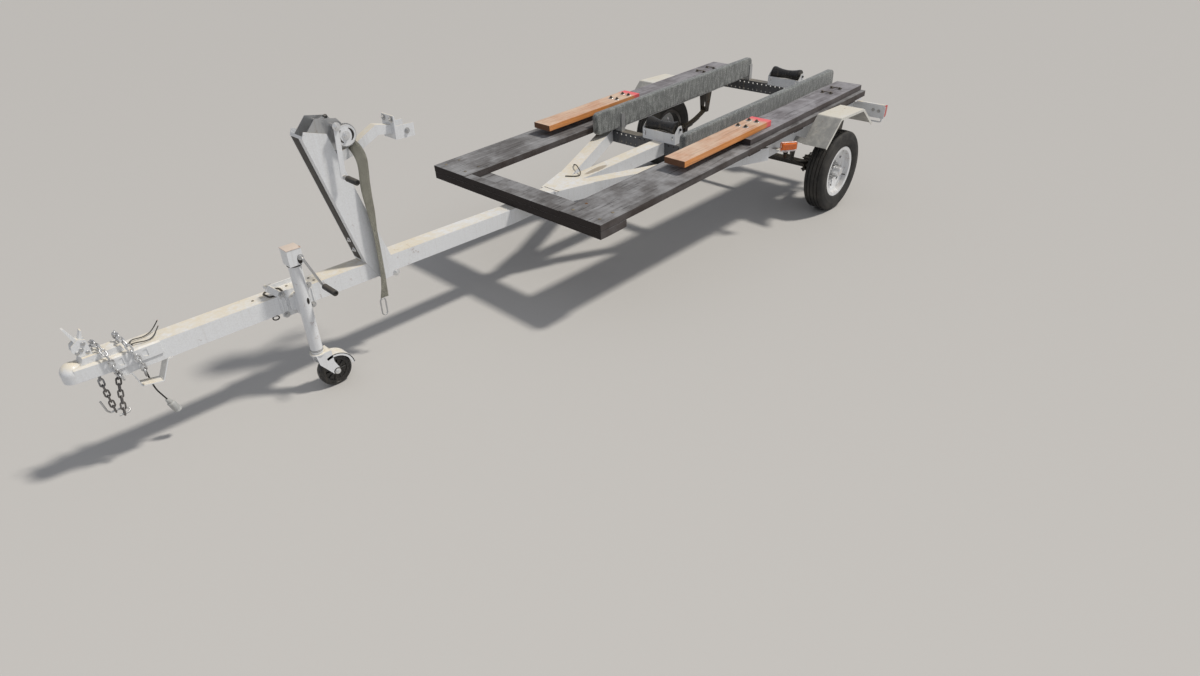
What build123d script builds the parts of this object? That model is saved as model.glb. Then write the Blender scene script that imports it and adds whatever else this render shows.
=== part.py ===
"""Single-axle boat trailer with keel rollers, carpeted bunks and a swivel jack.

Frame: millimetres, +X towards the coupler, +Y to the trailer's left, +Z up,
origin on the ground at the middle of the length. The tongue is level; all
behind the bend is drawn on the plane REAR, which climbs towards the tail.
"""

import os
from math import atan, cos, degrees, radians, sin, tan

from build123d import *

os.makedirs("parts", exist_ok=True)

# Driving dimensions of the running gear
TYRE_R = 270
TYRE_W = 140
RIM_R = 168
TRACK = 1476
AXLE_BACK = 2290

# Driving dimensions of the frame, all from the bend under the front plank
TONGUE_W = 88
TONGUE_H = 80
WALL = 4
TONGUE_TOP = 470
TONGUE_LEN = 1885
NOSE_PAST = 165
FRAME_BACK = 2900
FRAME_PITCH = radians(3.12)

# Driving dimensions of the timber deck
DECK_HALF_W = 662
RAIL_INSET = 87
PLANK_T = 39
PLANK_W = 286
BOARD_T = 36

# Driving dimensions of the jack, winch post and coupler
JACK_AHEAD = 1200
JACK_Y = 112
BALL_R = 25.5

# Places worked out from the driving dimensions
NOSE_AHEAD = TONGUE_LEN + NOSE_PAST
REAR_REACH = FRAME_BACK * cos(FRAME_PITCH) + TONGUE_H * sin(FRAME_PITCH)
X_BEND = (REAR_REACH - NOSE_AHEAD) / 2
X_AXLE = X_BEND - AXLE_BACK
TONGUE_END = X_BEND + TONGUE_LEN
Y_WHEEL = TRACK / 2
TONGUE_MID_Z = TONGUE_TOP - TONGUE_H / 2
TONGUE_LOW = TONGUE_TOP - TONGUE_H
HALF_W = TONGUE_W / 2
SEAT = 0.3
REAR = Plane(
    origin=(X_BEND, 0, TONGUE_TOP),
    x_dir=(cos(FRAME_PITCH), 0, -sin(FRAME_PITCH)),
    z_dir=(sin(FRAME_PITCH), 0, cos(FRAME_PITCH)),
)
SIDES = (("left", 1), ("right", -1))
SIGNS = (1, -1)


def rail_under(x):
    """Height of the pitched frame's underside above the ground at x."""
    return TONGUE_TOP + (X_BEND - x) * tan(FRAME_PITCH) - TONGUE_H / cos(FRAME_PITCH)


def rear_side_plane(y):
    """Upright plane along the pitched frame at y: local x forward, local y up, normal -Y."""
    return Plane(origin=REAR.from_local_coords((0, y, 0)), x_dir=REAR.x_dir, z_dir=(0, -1, 0))


def rear_cross_plane(x_local):
    """Plane across the pitched frame at x_local: local x to the left, local y up, normal forward."""
    return Plane(origin=REAR.from_local_coords((x_local, 0, 0)), x_dir=(0, 1, 0), z_dir=REAR.x_dir)


def finish(piece, name):
    """Label a sub-part and write it as its own file."""
    piece.part.label = name
    export_step(piece.part, f"parts/{name}.step")


# Tongue: a square tube from the bend to inside the coupler
with BuildPart() as tongue_tube:
    with BuildSketch(Plane.YZ.offset(X_BEND)):
        with Locations((0, TONGUE_MID_Z)):
            Rectangle(TONGUE_W, TONGUE_H)
            Rectangle(TONGUE_W - 2 * WALL, TONGUE_H - 2 * WALL, mode=Mode.SUBTRACT)
    extrude(amount=TONGUE_LEN)
finish(tongue_tube, "tongue_tube")

# Centre beam: the same tube, carried on up the pitched frame to the front crossmember
CROSS_D = 60
CROSS_FRONT_X = -1300
CROSS_REAR_X = -(FRAME_BACK - CROSS_D)
with BuildPart() as centre_beam:
    with BuildSketch(rear_cross_plane(CROSS_FRONT_X)):
        with Locations((0, -TONGUE_H / 2)):
            Rectangle(TONGUE_W, TONGUE_H)
            Rectangle(TONGUE_W - 2 * WALL, TONGUE_H - 2 * WALL, mode=Mode.SUBTRACT)
    extrude(amount=-CROSS_FRONT_X + TONGUE_H * tan(FRAME_PITCH))
    split(bisect_by=Plane.YZ.offset(X_BEND), keep=Keep.BOTTOM)
finish(centre_beam, "centre_beam")

# Places of the V braces and side rails on the pitched frame
RAIL_Y = DECK_HALF_W - RAIL_INSET
RAIL_W = 50
BRACE_ROOT_X = -360
BRACE_SLOPE = 0.47
BRACE_W = 80
BRACE_END_X = -1600
brace_half = BRACE_W / 2 / cos(atan(BRACE_SLOPE))
brace_wall = WALL / cos(atan(BRACE_SLOPE))


def brace_mid(x_local):
    """Distance of a brace's middle line from the trailer's middle at x_local."""
    return (BRACE_ROOT_X - x_local) * BRACE_SLOPE


def brace_inner(x_local):
    """Distance of a brace's inner side from the trailer's middle at x_local."""
    return brace_mid(x_local) - brace_half


# Crossmembers: channels open to the rear, their front webs pierced by two rows of holes
HOLE_R = 6
HOLE_PITCH = 40
HOLE_ROWS_APART = 50
cross_rows = (
    # front face x, half length at its front, half length at its back
    (CROSS_FRONT_X, brace_inner(CROSS_FRONT_X), brace_inner(CROSS_FRONT_X - CROSS_D)),
    (CROSS_REAR_X, RAIL_Y - RAIL_W / 2, RAIL_Y - RAIL_W / 2),
)
with BuildPart() as crossmembers:
    for front_x, front_half, back_half in cross_rows:
        with BuildSketch(REAR.offset(-TONGUE_H)):
            Polygon(
                (front_x, front_half - SEAT),
                (front_x, -front_half + SEAT),
                (front_x - CROSS_D, -back_half + SEAT),
                (front_x - CROSS_D, back_half - SEAT),
                align=None,
            )
        extrude(amount=TONGUE_H)
        with BuildSketch(REAR.offset(WALL - TONGUE_H)):
            with Locations((front_x - WALL - CROSS_D / 2, 0)):
                Rectangle(CROSS_D, 3 * back_half)
        extrude(amount=TONGUE_H - 2 * WALL, mode=Mode.SUBTRACT)
        with BuildSketch(rear_cross_plane(front_x)):
            with Locations((0, -TONGUE_H / 2)):
                with GridLocations(HOLE_PITCH, HOLE_ROWS_APART, int(2 * front_half / HOLE_PITCH), 2):
                    Circle(HOLE_R)
        extrude(amount=-CROSS_D / 2, mode=Mode.SUBTRACT)
finish(crossmembers, "crossmembers")

# V braces: tubes from the centre beam out and back to the side rails, with wedges at their roots
BRACE_FRONT_X = BRACE_ROOT_X + 170
GUSSET_FRONT_X = -320
GUSSET_BACK_X = -546
with BuildPart() as v_brace:
    for sign in SIGNS:
        with BuildSketch(REAR.offset(-TONGUE_H)):
            Polygon(
                (BRACE_FRONT_X, sign * (brace_mid(BRACE_FRONT_X) + brace_half)),
                (BRACE_FRONT_X, sign * brace_inner(BRACE_FRONT_X)),
                (BRACE_END_X, sign * brace_inner(BRACE_END_X)),
                (BRACE_END_X, sign * (brace_mid(BRACE_END_X) + brace_half)),
                align=None,
            )
            with Locations((CROSS_FRONT_X, 0)):
                Rectangle(-2 * CROSS_FRONT_X, TONGUE_W + 2 * SEAT, mode=Mode.SUBTRACT)
            with Locations((CROSS_FRONT_X, -sign * DECK_HALF_W)):
                Rectangle(-2 * CROSS_FRONT_X, 2 * DECK_HALF_W, mode=Mode.SUBTRACT)
        extrude(amount=TONGUE_H)
        with BuildSketch(REAR.offset(WALL - TONGUE_H)):
            Polygon(
                (BRACE_FRONT_X, sign * (brace_mid(BRACE_FRONT_X) + brace_half - brace_wall)),
                (BRACE_FRONT_X, sign * (brace_inner(BRACE_FRONT_X) + brace_wall)),
                (BRACE_END_X + WALL, sign * (brace_inner(BRACE_END_X + WALL) + brace_wall)),
                (BRACE_END_X + WALL, sign * (brace_mid(BRACE_END_X + WALL) + brace_half - brace_wall)),
                align=None,
            )
            with Locations((CROSS_FRONT_X, -sign * DECK_HALF_W)):
                Rectangle(-2 * CROSS_FRONT_X, 2 * DECK_HALF_W, mode=Mode.SUBTRACT)
        extrude(amount=TONGUE_H - 2 * WALL, mode=Mode.SUBTRACT)
        with BuildSketch(REAR.offset(-TONGUE_H)):
            Polygon(
                (GUSSET_FRONT_X, sign * (HALF_W + SEAT)),
                (GUSSET_FRONT_X, sign * (HALF_W + 16)),
                (GUSSET_BACK_X, sign * (brace_mid(GUSSET_BACK_X) + brace_half + 6)),
                (GUSSET_BACK_X, sign * (brace_mid(GUSSET_BACK_X) + brace_half - 1)),
                (BRACE_ROOT_X, sign * (HALF_W + SEAT)),
                align=None,
            )
        extrude(amount=TONGUE_H)
finish(v_brace, "v_braces")

# Side rails: steel tubes under the planks from the braces to the rear crossmember
with BuildPart() as side_rail:
    for sign in SIGNS:
        with BuildSketch(rear_cross_plane(BRACE_END_X - SEAT)):
            with Locations((sign * RAIL_Y, -TONGUE_H / 2)):
                Rectangle(RAIL_W, TONGUE_H)
                Rectangle(RAIL_W - 2 * WALL, TONGUE_H - 2 * WALL, mode=Mode.SUBTRACT)
        extrude(amount=-(FRAME_BACK + BRACE_END_X - SEAT))
finish(side_rail, "side_rails")

# Timber deck: a cross plank on the tongue, and one long plank down each side on it
CROSS_PLANK_FRONT_X = -36
CROSS_PLANK_D = 188
DECK_END_X = -2800
with BuildPart() as cross_plank:
    with BuildSketch(REAR.offset(SEAT)):
        with Locations((CROSS_PLANK_FRONT_X - CROSS_PLANK_D / 2, 0)):
            Rectangle(CROSS_PLANK_D, 2 * DECK_HALF_W)
    extrude(amount=PLANK_T)
    with BuildSketch(REAR.offset(SEAT + PLANK_T)):
        with Locations((CROSS_PLANK_FRONT_X - 25, 0)):
            Rectangle(50, 2 * (DECK_HALF_W - PLANK_W) - 2)
    extrude(amount=PLANK_T - 3)
finish(cross_plank, "cross_plank")

PLANK_Z = PLANK_T + 2 * SEAT
with BuildPart() as side_plank:
    for sign in SIGNS:
        with BuildSketch(REAR.offset(PLANK_Z)):
            with Locations(((CROSS_PLANK_FRONT_X + DECK_END_X) / 2, sign * (DECK_HALF_W - PLANK_W / 2))):
                Rectangle(CROSS_PLANK_FRONT_X - DECK_END_X, PLANK_W)
        extrude(amount=PLANK_T)
finish(side_plank, "side_planks")

# Packers: short blocks that carry the side planks level with the cross plank
packer_rows = (
    # x of its middle, length
    (-1460, 120),
    (-1980, 100),
    (-2700, 120),
)
with BuildPart() as packers:
    for sign in SIGNS:
        with BuildSketch(REAR.offset(SEAT)):
            for mid_x, length in packer_rows:
                with Locations((mid_x, sign * (RAIL_Y - 5))):
                    Rectangle(length, RAIL_W + 40)
        extrude(amount=PLANK_T)
finish(packers, "packers")

# Boards: a grey board on each side plank, and a newer one on top that juts forward
BOARD_Z = PLANK_Z + PLANK_T + SEAT
board_rows = (
    # name, front x, rear x, inset from the deck's side, width, underside z
    ("grey_boards", -1370, -2790, 30, 188, BOARD_Z),
    ("new_boards", -780, -1650, 67, 140, BOARD_Z + BOARD_T + SEAT),
)
for name, front_x, rear_x, inset, width, low_z in board_rows:
    with BuildPart() as boards:
        for sign in SIGNS:
            with BuildSketch(REAR.offset(low_z)):
                with Locations(((front_x + rear_x) / 2, sign * (DECK_HALF_W - inset - width / 2))):
                    Rectangle(front_x - rear_x, width)
            extrude(amount=BOARD_T)
    finish(boards, name)

# Bunks: carpet-wrapped planks on edge, just inside the side planks
BUNK_T = 46
BUNK_Y = DECK_HALF_W - PLANK_W - BUNK_T / 2 - 4
BUNK_FRONT_X = -1080
BUNK_REAR_X = -2880
BUNK_LOW = 28
BUNK_TOP = 168
BUNK_BRACKET_W = 34
BUNK_BRACKET_T = 6
with BuildPart() as bunk:
    for sign in SIGNS:
        with BuildSketch(rear_side_plane(sign * BUNK_Y)):
            with Locations(((BUNK_FRONT_X + BUNK_REAR_X) / 2, (BUNK_TOP + BUNK_LOW) / 2)):
                RectangleRounded(BUNK_FRONT_X - BUNK_REAR_X, BUNK_TOP - BUNK_LOW, 30)
        extrude(amount=BUNK_T / 2, both=True)
finish(bunk, "bunks")

# Bunk brackets: one on each crossmember, a foot under the bunk and a leg up its inner side
with BuildPart() as bunk_brackets:
    for sign in SIGNS:
        for cross_x in (CROSS_FRONT_X, CROSS_REAR_X):
            with BuildSketch(rear_cross_plane(cross_x - 6)):
                Polygon(
                    (sign * (BUNK_Y + BUNK_T / 2), SEAT),
                    (sign * (BUNK_Y + BUNK_T / 2), BUNK_LOW - SEAT),
                    (sign * (BUNK_Y - BUNK_T / 2 - SEAT), BUNK_LOW - SEAT),
                    (sign * (BUNK_Y - BUNK_T / 2 - SEAT), BUNK_TOP - 50),
                    (sign * (BUNK_Y - BUNK_T / 2 - BUNK_BRACKET_T), BUNK_TOP - 50),
                    (sign * (BUNK_Y - BUNK_T / 2 - BUNK_BRACKET_T), SEAT),
                    align=None,
                )
            extrude(amount=-BUNK_BRACKET_W)
finish(bunk_brackets, "bunk_brackets")

# Keel rollers: a folded bracket on each crossmember, with a waisted rubber roller between its ears
ROLLER_R = 45
ROLLER_WAIST_R = 31
ROLLER_RIM = 14
ROLLER_HALF = 112
ROLLER_Z = 86
PIN_R = 8
EAR_Y = 126
EAR_T = 5
roller_rows = (
    # name, x of the roller's middle
    ("front", CROSS_FRONT_X - 48),
    ("rear", CROSS_REAR_X - 22),
)
with BuildPart() as keel_brackets:
    for _, mid_x in roller_rows:
        with BuildSketch(REAR.offset(SEAT)):
            with Locations((mid_x + 11.5, 0)):
                Rectangle(79, 2 * EAR_Y + 2 * EAR_T)
        extrude(amount=EAR_T)
        with BuildSketch(rear_cross_plane(mid_x + 46)):
            with Locations((0, 33)):
                Rectangle(2 * EAR_Y + 2 * EAR_T, 66 - 2 * SEAT)
            with Locations((-EAR_Y + 18, 36), (EAR_Y - 18, 36)):
                SlotOverall(30, 9, rotation=90, mode=Mode.SUBTRACT)
        extrude(amount=EAR_T)
        for sign in SIGNS:
            with BuildSketch(rear_side_plane(sign * (EAR_Y + EAR_T / 2))):
                with BuildLine():
                    Polyline(
                        (mid_x + 51, SEAT),
                        (mid_x + 51, 66),
                        (mid_x + 12, ROLLER_Z + 20),
                        (mid_x - 16, ROLLER_Z + 20),
                        (mid_x - 28, ROLLER_Z - 30),
                        (mid_x - 28, SEAT),
                        close=True,
                    )
                make_face()
                with Locations((mid_x, ROLLER_Z)):
                    Circle(PIN_R + 0.3, mode=Mode.SUBTRACT)
            extrude(amount=EAR_T / 2, both=True)
finish(keel_brackets, "keel_brackets")

for name, mid_x in roller_rows:
    with BuildPart() as keel_roller:
        with BuildSketch(rear_cross_plane(mid_x)):
            with BuildLine():
                Polyline(
                    (ROLLER_HALF - ROLLER_RIM, ROLLER_Z + ROLLER_R),
                    (ROLLER_HALF, ROLLER_Z + ROLLER_R),
                    (ROLLER_HALF, ROLLER_Z),
                    (-ROLLER_HALF, ROLLER_Z),
                    (-ROLLER_HALF, ROLLER_Z + ROLLER_R),
                    (ROLLER_RIM - ROLLER_HALF, ROLLER_Z + ROLLER_R),
                )
                ThreePointArc(
                    (ROLLER_RIM - ROLLER_HALF, ROLLER_Z + ROLLER_R),
                    (0, ROLLER_Z + ROLLER_WAIST_R),
                    (ROLLER_HALF - ROLLER_RIM, ROLLER_Z + ROLLER_R),
                )
            make_face()
        revolve(axis=Axis(REAR.from_local_coords((mid_x, 0, ROLLER_Z)), (0, 1, 0)))
        with BuildSketch(rear_side_plane(0)):
            with Locations((mid_x, ROLLER_Z)):
                Circle(PIN_R)
        extrude(amount=EAR_Y + EAR_T + 7, both=True)
    finish(keel_roller, f"keel_roller_{name}")

# Axle: a round tube between the hubs, hung on the springs
AXLE_R = 25
HUB_BACK = 38
SPRING_Y = RAIL_Y
with BuildPart() as axle:
    with BuildSketch(Plane.XZ):
        with Locations((X_AXLE, TYRE_R)):
            Circle(AXLE_R)
    extrude(amount=Y_WHEEL - HUB_BACK - 0.5, both=True)
finish(axle, "axle")

# Leaf springs: arched strips between a front hanger and a rear shackle under the rail
SPRING_HALF = 330
SPRING_EYE_R = 14
EYE_PIN_R = 7
LEAF_T = 7
LEAF_W = 44
SPRING_SAG = 84
SPRING_LOW = TYRE_R + AXLE_R + SEAT
spring_rows = (
    # leaf number, half length, rise of its ends above its middle
    (0, SPRING_HALF, SPRING_SAG),
    (1, SPRING_HALF * 0.72, SPRING_SAG * 0.52),
    (2, SPRING_HALF * 0.45, SPRING_SAG * 0.2),
)
EYE_Z = SPRING_LOW + 2 * LEAF_T + SPRING_SAG + SPRING_EYE_R
eye_places = (X_AXLE + SPRING_HALF, X_AXLE - SPRING_HALF)
with BuildPart() as leaf_spring:
    for sign in SIGNS:
        with BuildSketch(Plane.XZ.offset(-sign * SPRING_Y)):
            for leaf, half, rise in spring_rows:
                base = SPRING_LOW + (2 - leaf) * LEAF_T
                with BuildLine():
                    ThreePointArc(
                        (X_AXLE - half, base + rise), (X_AXLE, base), (X_AXLE + half, base + rise)
                    )
                    Line((X_AXLE + half, base + rise), (X_AXLE + half, base + rise + LEAF_T))
                    ThreePointArc(
                        (X_AXLE + half, base + rise + LEAF_T),
                        (X_AXLE, base + LEAF_T),
                        (X_AXLE - half, base + rise + LEAF_T),
                    )
                    Line((X_AXLE - half, base + rise + LEAF_T), (X_AXLE - half, base + rise))
                make_face()
            with Locations([(eye_x, EYE_Z) for eye_x in eye_places]):
                Circle(SPRING_EYE_R)
                Circle(EYE_PIN_R + SEAT, mode=Mode.SUBTRACT)
        extrude(amount=LEAF_W / 2, both=True)
finish(leaf_spring, "leaf_springs")

# Hangers: folded plates that hold the spring's eyes from the underside of the rail
with BuildPart() as hangers:
    for sign in SIGNS:
        for eye_x in eye_places:
            rail_low = rail_under(eye_x + 45) - SEAT
            with BuildSketch(Plane.XZ.offset(-sign * SPRING_Y)):
                with BuildLine():
                    Polyline(
                        (eye_x - 45, rail_under(eye_x - 45) - SEAT),
                        (eye_x + 45, rail_low),
                        (eye_x + 18, EYE_Z - 24),
                        (eye_x - 18, EYE_Z - 24),
                        close=True,
                    )
                make_face()
            extrude(amount=LEAF_W / 2 + 5, both=True)
            with BuildSketch(Plane.XZ.offset(-sign * SPRING_Y)):
                with Locations((eye_x, EYE_Z - 52)):
                    Rectangle(100, rail_low - 6 - EYE_Z + 52, align=(Align.CENTER, Align.MIN))
            extrude(amount=LEAF_W / 2 + SEAT, both=True, mode=Mode.SUBTRACT)
            with BuildSketch(Plane.XZ.offset(-sign * SPRING_Y)):
                with Locations((eye_x, EYE_Z)):
                    Circle(EYE_PIN_R)
            extrude(amount=LEAF_W / 2 + 10, both=True)
finish(hangers, "spring_hangers")

# Wheels: a pressed steel rim with its hub and cap, and the tyre round it
BEAD_R = 152
BEAD_HALF = 54
CAP_R = 30
CAP_OUT = 70
VENTS = 8
VENT_CIRCLE_R = 106
VENT_LEN = 26
VENT_W = 14


def wheel_plane(sign):
    """Plane through the axle at a wheel: local x outboard from the wheel's middle, local y up."""
    return Plane(origin=(X_AXLE, sign * Y_WHEEL, TYRE_R), x_dir=(0, sign, 0), z_dir=(sign, 0, 0))


for side, sign in SIDES:
    axis = Axis((X_AXLE, 0, TYRE_R), (0, 1, 0))
    with BuildPart() as tyre:
        with BuildSketch(wheel_plane(sign)):
            with BuildLine():
                Polyline(
                    (-BEAD_HALF + 1.5, BEAD_R + SEAT),
                    (-BEAD_HALF + SEAT, RIM_R + 0.5),
                    (-TYRE_W / 2 + 6, RIM_R + 12),
                    (-TYRE_W / 2, TYRE_R - 52),
                    (-TYRE_W / 2 + 4, TYRE_R - 18),
                    (-TYRE_W / 2 + 14, TYRE_R),
                    (TYRE_W / 2 - 14, TYRE_R),
                    (TYRE_W / 2 - 4, TYRE_R - 18),
                    (TYRE_W / 2, TYRE_R - 52),
                    (TYRE_W / 2 - 6, RIM_R + 12),
                    (BEAD_HALF - SEAT, RIM_R + 0.5),
                    (BEAD_HALF - 1.5, BEAD_R + SEAT),
                    close=True,
                )
            make_face()
        revolve(axis=axis)
    finish(tyre, f"tyre_{side}")

    with BuildPart() as wheel_rim:
        with BuildSketch(wheel_plane(sign)):
            with BuildLine():
                Polyline(
                    (-BEAD_HALF - 4, RIM_R),
                    (-BEAD_HALF, RIM_R),
                    (-BEAD_HALF + 1, BEAD_R),
                    (BEAD_HALF - 1, BEAD_R),
                    (BEAD_HALF, RIM_R),
                    (BEAD_HALF + 4, RIM_R),
                    (BEAD_HALF + 2, BEAD_R - 6),
                    (24, BEAD_R - 7),
                    (22, BEAD_R - 26),
                    (10, 92),
                    (4, 84),
                    (4, CAP_R + 6),
                    (24, CAP_R + 5),
                    (25, CAP_R),
                    (CAP_OUT - 8, CAP_R - 1),
                    (CAP_OUT, CAP_R - 9),
                    (CAP_OUT, 0),
                    (-HUB_BACK, 0),
                    (-HUB_BACK, 44),
                    (-6, 62),
                    (-1, 62),
                    (-1, 86),
                    (5, 98),
                    (14, BEAD_R - 24),
                    (16, BEAD_R - 8),
                    (-BEAD_HALF - 2, BEAD_R - 6),
                    close=True,
                )
            make_face()
        revolve(axis=axis)
        with BuildSketch(Plane((X_AXLE, sign * Y_WHEEL, TYRE_R), x_dir=(1, 0, 0), z_dir=(0, sign, 0))):
            with PolarLocations(VENT_CIRCLE_R, VENTS):
                SlotOverall(VENT_LEN, VENT_W, rotation=90)
        extrude(amount=BEAD_HALF, both=True, mode=Mode.SUBTRACT)
    finish(wheel_rim, f"wheel_rim_{side}")

# Spring seats: clamp plates and straps that tie the axle to the leaf springs
with BuildPart() as axle_clamp:
    for sign in SIGNS:
        for plate_z in (SPRING_LOW + 3 * LEAF_T + 2, TYRE_R - AXLE_R - 6 - SEAT):
            with BuildSketch(Plane.XY.offset(plate_z)):
                with Locations((X_AXLE, sign * SPRING_Y)):
                    Rectangle(90, 84)
            extrude(amount=6)
        with BuildSketch(Plane.XY.offset(TYRE_R - AXLE_R - 6 - SEAT)):
            with Locations((X_AXLE, sign * SPRING_Y)):
                with GridLocations(68, 62, 2, 2):
                    Circle(5)
        extrude(amount=2 * AXLE_R + 6 + 3 * LEAF_T + 14)
finish(axle_clamp, "axle_clamps")

# Fenders: a flat strip bent twice over each wheel, its outer edge turned down, and its stays
FENDER_IN = DECK_HALF_W + 6
FENDER_OUT = 835
FENDER_TOP = 672
FENDER_T = 3
LIP = 16
fender_line = (
    # x from the axle, height of its upper face
    (350, 514),
    (190, FENDER_TOP),
    (-130, FENDER_TOP),
    (-300, 548),
)
stay_rows = (
    # x and z of the stay's low end, then of its high end, both from the axle along the fender
    ((350, 514), (190, FENDER_TOP)),
    ((-300, 548), (-130, FENDER_TOP)),
)
with BuildPart() as fender:
    for sign in SIGNS:
        bands = ((FENDER_IN, FENDER_OUT, FENDER_T), (FENDER_OUT - FENDER_T, FENDER_OUT, LIP))
        for y_in, y_out, depth in bands:
            with BuildSketch(Plane.XZ.offset(-sign * y_in)):
                with BuildLine():
                    strip = FilletPolyline(*[(X_AXLE + dx, z) for dx, z in fender_line], radius=30)
                    offset(strip, amount=depth, side=Side.LEFT)
                make_face()
            extrude(amount=-sign * (y_out - y_in))
        for low, high in stay_rows:
            run = Vector(high[0] - low[0], high[1] - low[1]).normalized()
            under = Vector(run.Y, -run.X) if run.X < 0 else Vector(-run.Y, -run.X)
            if under.Y > 0:
                under = -under
            start = Vector(X_AXLE + low[0], low[1]) + run * 8 + under * (FENDER_T - 0.5)
            with BuildSketch(Plane.XZ.offset(-sign * (RAIL_Y + RAIL_W / 2 + SEAT))):
                with BuildLine():
                    Polyline(
                        (start.X, start.Y),
                        (start.X + 38 * run.X, start.Y + 38 * run.Y),
                        (start.X + 38 * run.X + 6 * under.X, start.Y + 38 * run.Y + 6 * under.Y),
                        (start.X + 6 * under.X, start.Y + 6 * under.Y),
                        close=True,
                    )
                make_face()
            extrude(amount=-sign * (FENDER_OUT - 20 - RAIL_Y - RAIL_W / 2))
finish(fender, "fenders")

# Side markers: amber lamps ahead of the fenders, turned forward
MARKER_AHEAD = -1700
MARKER_Y = RAIL_Y + 125
MARKER_Z = 560
MARKER_TURN = radians(35)


def marker_plane(sign):
    """Plane of a marker lamp's back: normal outward and forward, local y up."""
    return Plane(
        origin=(X_BEND + MARKER_AHEAD, sign * MARKER_Y, MARKER_Z),
        x_dir=(-sign * cos(MARKER_TURN), sin(MARKER_TURN), 0),
        z_dir=(sin(MARKER_TURN), sign * cos(MARKER_TURN), 0),
    )


with BuildPart() as marker_lamps:
    for sign in SIGNS:
        with BuildSketch(marker_plane(sign)):
            RectangleRounded(112, 52, 12)
        extrude(amount=8)
        with BuildSketch(marker_plane(sign).offset(8)):
            RectangleRounded(98, 40, 10)
        extrude(amount=14, taper=12)
finish(marker_lamps, "marker_lamps")

# Tail lamps: red lamp boxes behind plates off the side rails
TAIL_X = X_BEND + DECK_END_X + 20
TAIL_Y = RAIL_Y + 180
TAIL_Z = 580
TAIL_LAMP_W = 152
TAIL_LAMP_H = 86
TAIL_LAMP_D = 30
with BuildPart() as tail_lamps:
    for sign in SIGNS:
        with BuildSketch(Plane.YZ.offset(TAIL_X - SEAT)):
            with Locations((sign * TAIL_Y, TAIL_Z)):
                RectangleRounded(TAIL_LAMP_W, TAIL_LAMP_H, 10)
        extrude(amount=-TAIL_LAMP_D)
        with BuildSketch(Plane.YZ.offset(TAIL_X - SEAT - TAIL_LAMP_D)):
            with Locations((sign * TAIL_Y, TAIL_Z)):
                RectangleRounded(TAIL_LAMP_W - 4, TAIL_LAMP_H - 4, 10)
        extrude(amount=-24, taper=8)
finish(tail_lamps, "tail_lamps")

# Lamp brackets: a shelf and upstand for each marker, a plate and a rod guard for each tail lamp
RAIL_OUT = RAIL_Y + RAIL_W / 2 + SEAT
TAIL_PLATE_W = TAIL_Y + TAIL_LAMP_W / 2 + 3 - RAIL_OUT
GUARD_LOW = TAIL_Z - 74
with BuildPart() as lamp_brackets:
    for sign in SIGNS:
        with BuildSketch(marker_plane(sign).offset(-3 - SEAT)):
            with Locations((0, -4)):
                Rectangle(100, 62)
        extrude(amount=3)
        with BuildSketch(Plane.XY.offset(MARKER_Z - 36)):
            with Locations((X_BEND + MARKER_AHEAD, sign * (RAIL_OUT + 50))):
                Rectangle(46, 100)
        extrude(amount=4)
        with BuildSketch(Plane.YZ.offset(TAIL_X)):
            with Locations((sign * (RAIL_OUT + TAIL_PLATE_W / 2), TAIL_Z - 4)):
                Rectangle(TAIL_PLATE_W, TAIL_LAMP_H - 2)
            with Locations((sign * (TAIL_Y - 4), TAIL_Z + 6), (sign * (TAIL_Y + 36), TAIL_Z + 2)):
                Circle(5, mode=Mode.SUBTRACT)
        extrude(amount=4)
        with BuildSketch(Plane.YZ.offset(TAIL_X)):
            with BuildLine():
                guard = FilletPolyline(
                    (sign * (TAIL_Y - 56), TAIL_Z - 40),
                    (sign * (TAIL_Y - 56), GUARD_LOW),
                    (sign * (TAIL_Y + 70), GUARD_LOW),
                    (sign * (TAIL_Y + 70), TAIL_Z - 40),
                    radius=15,
                )
                offset(guard, amount=8, side=Side.LEFT if sign > 0 else Side.RIGHT)
            make_face()
        extrude(amount=8)
finish(lamp_brackets, "lamp_brackets")

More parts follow.
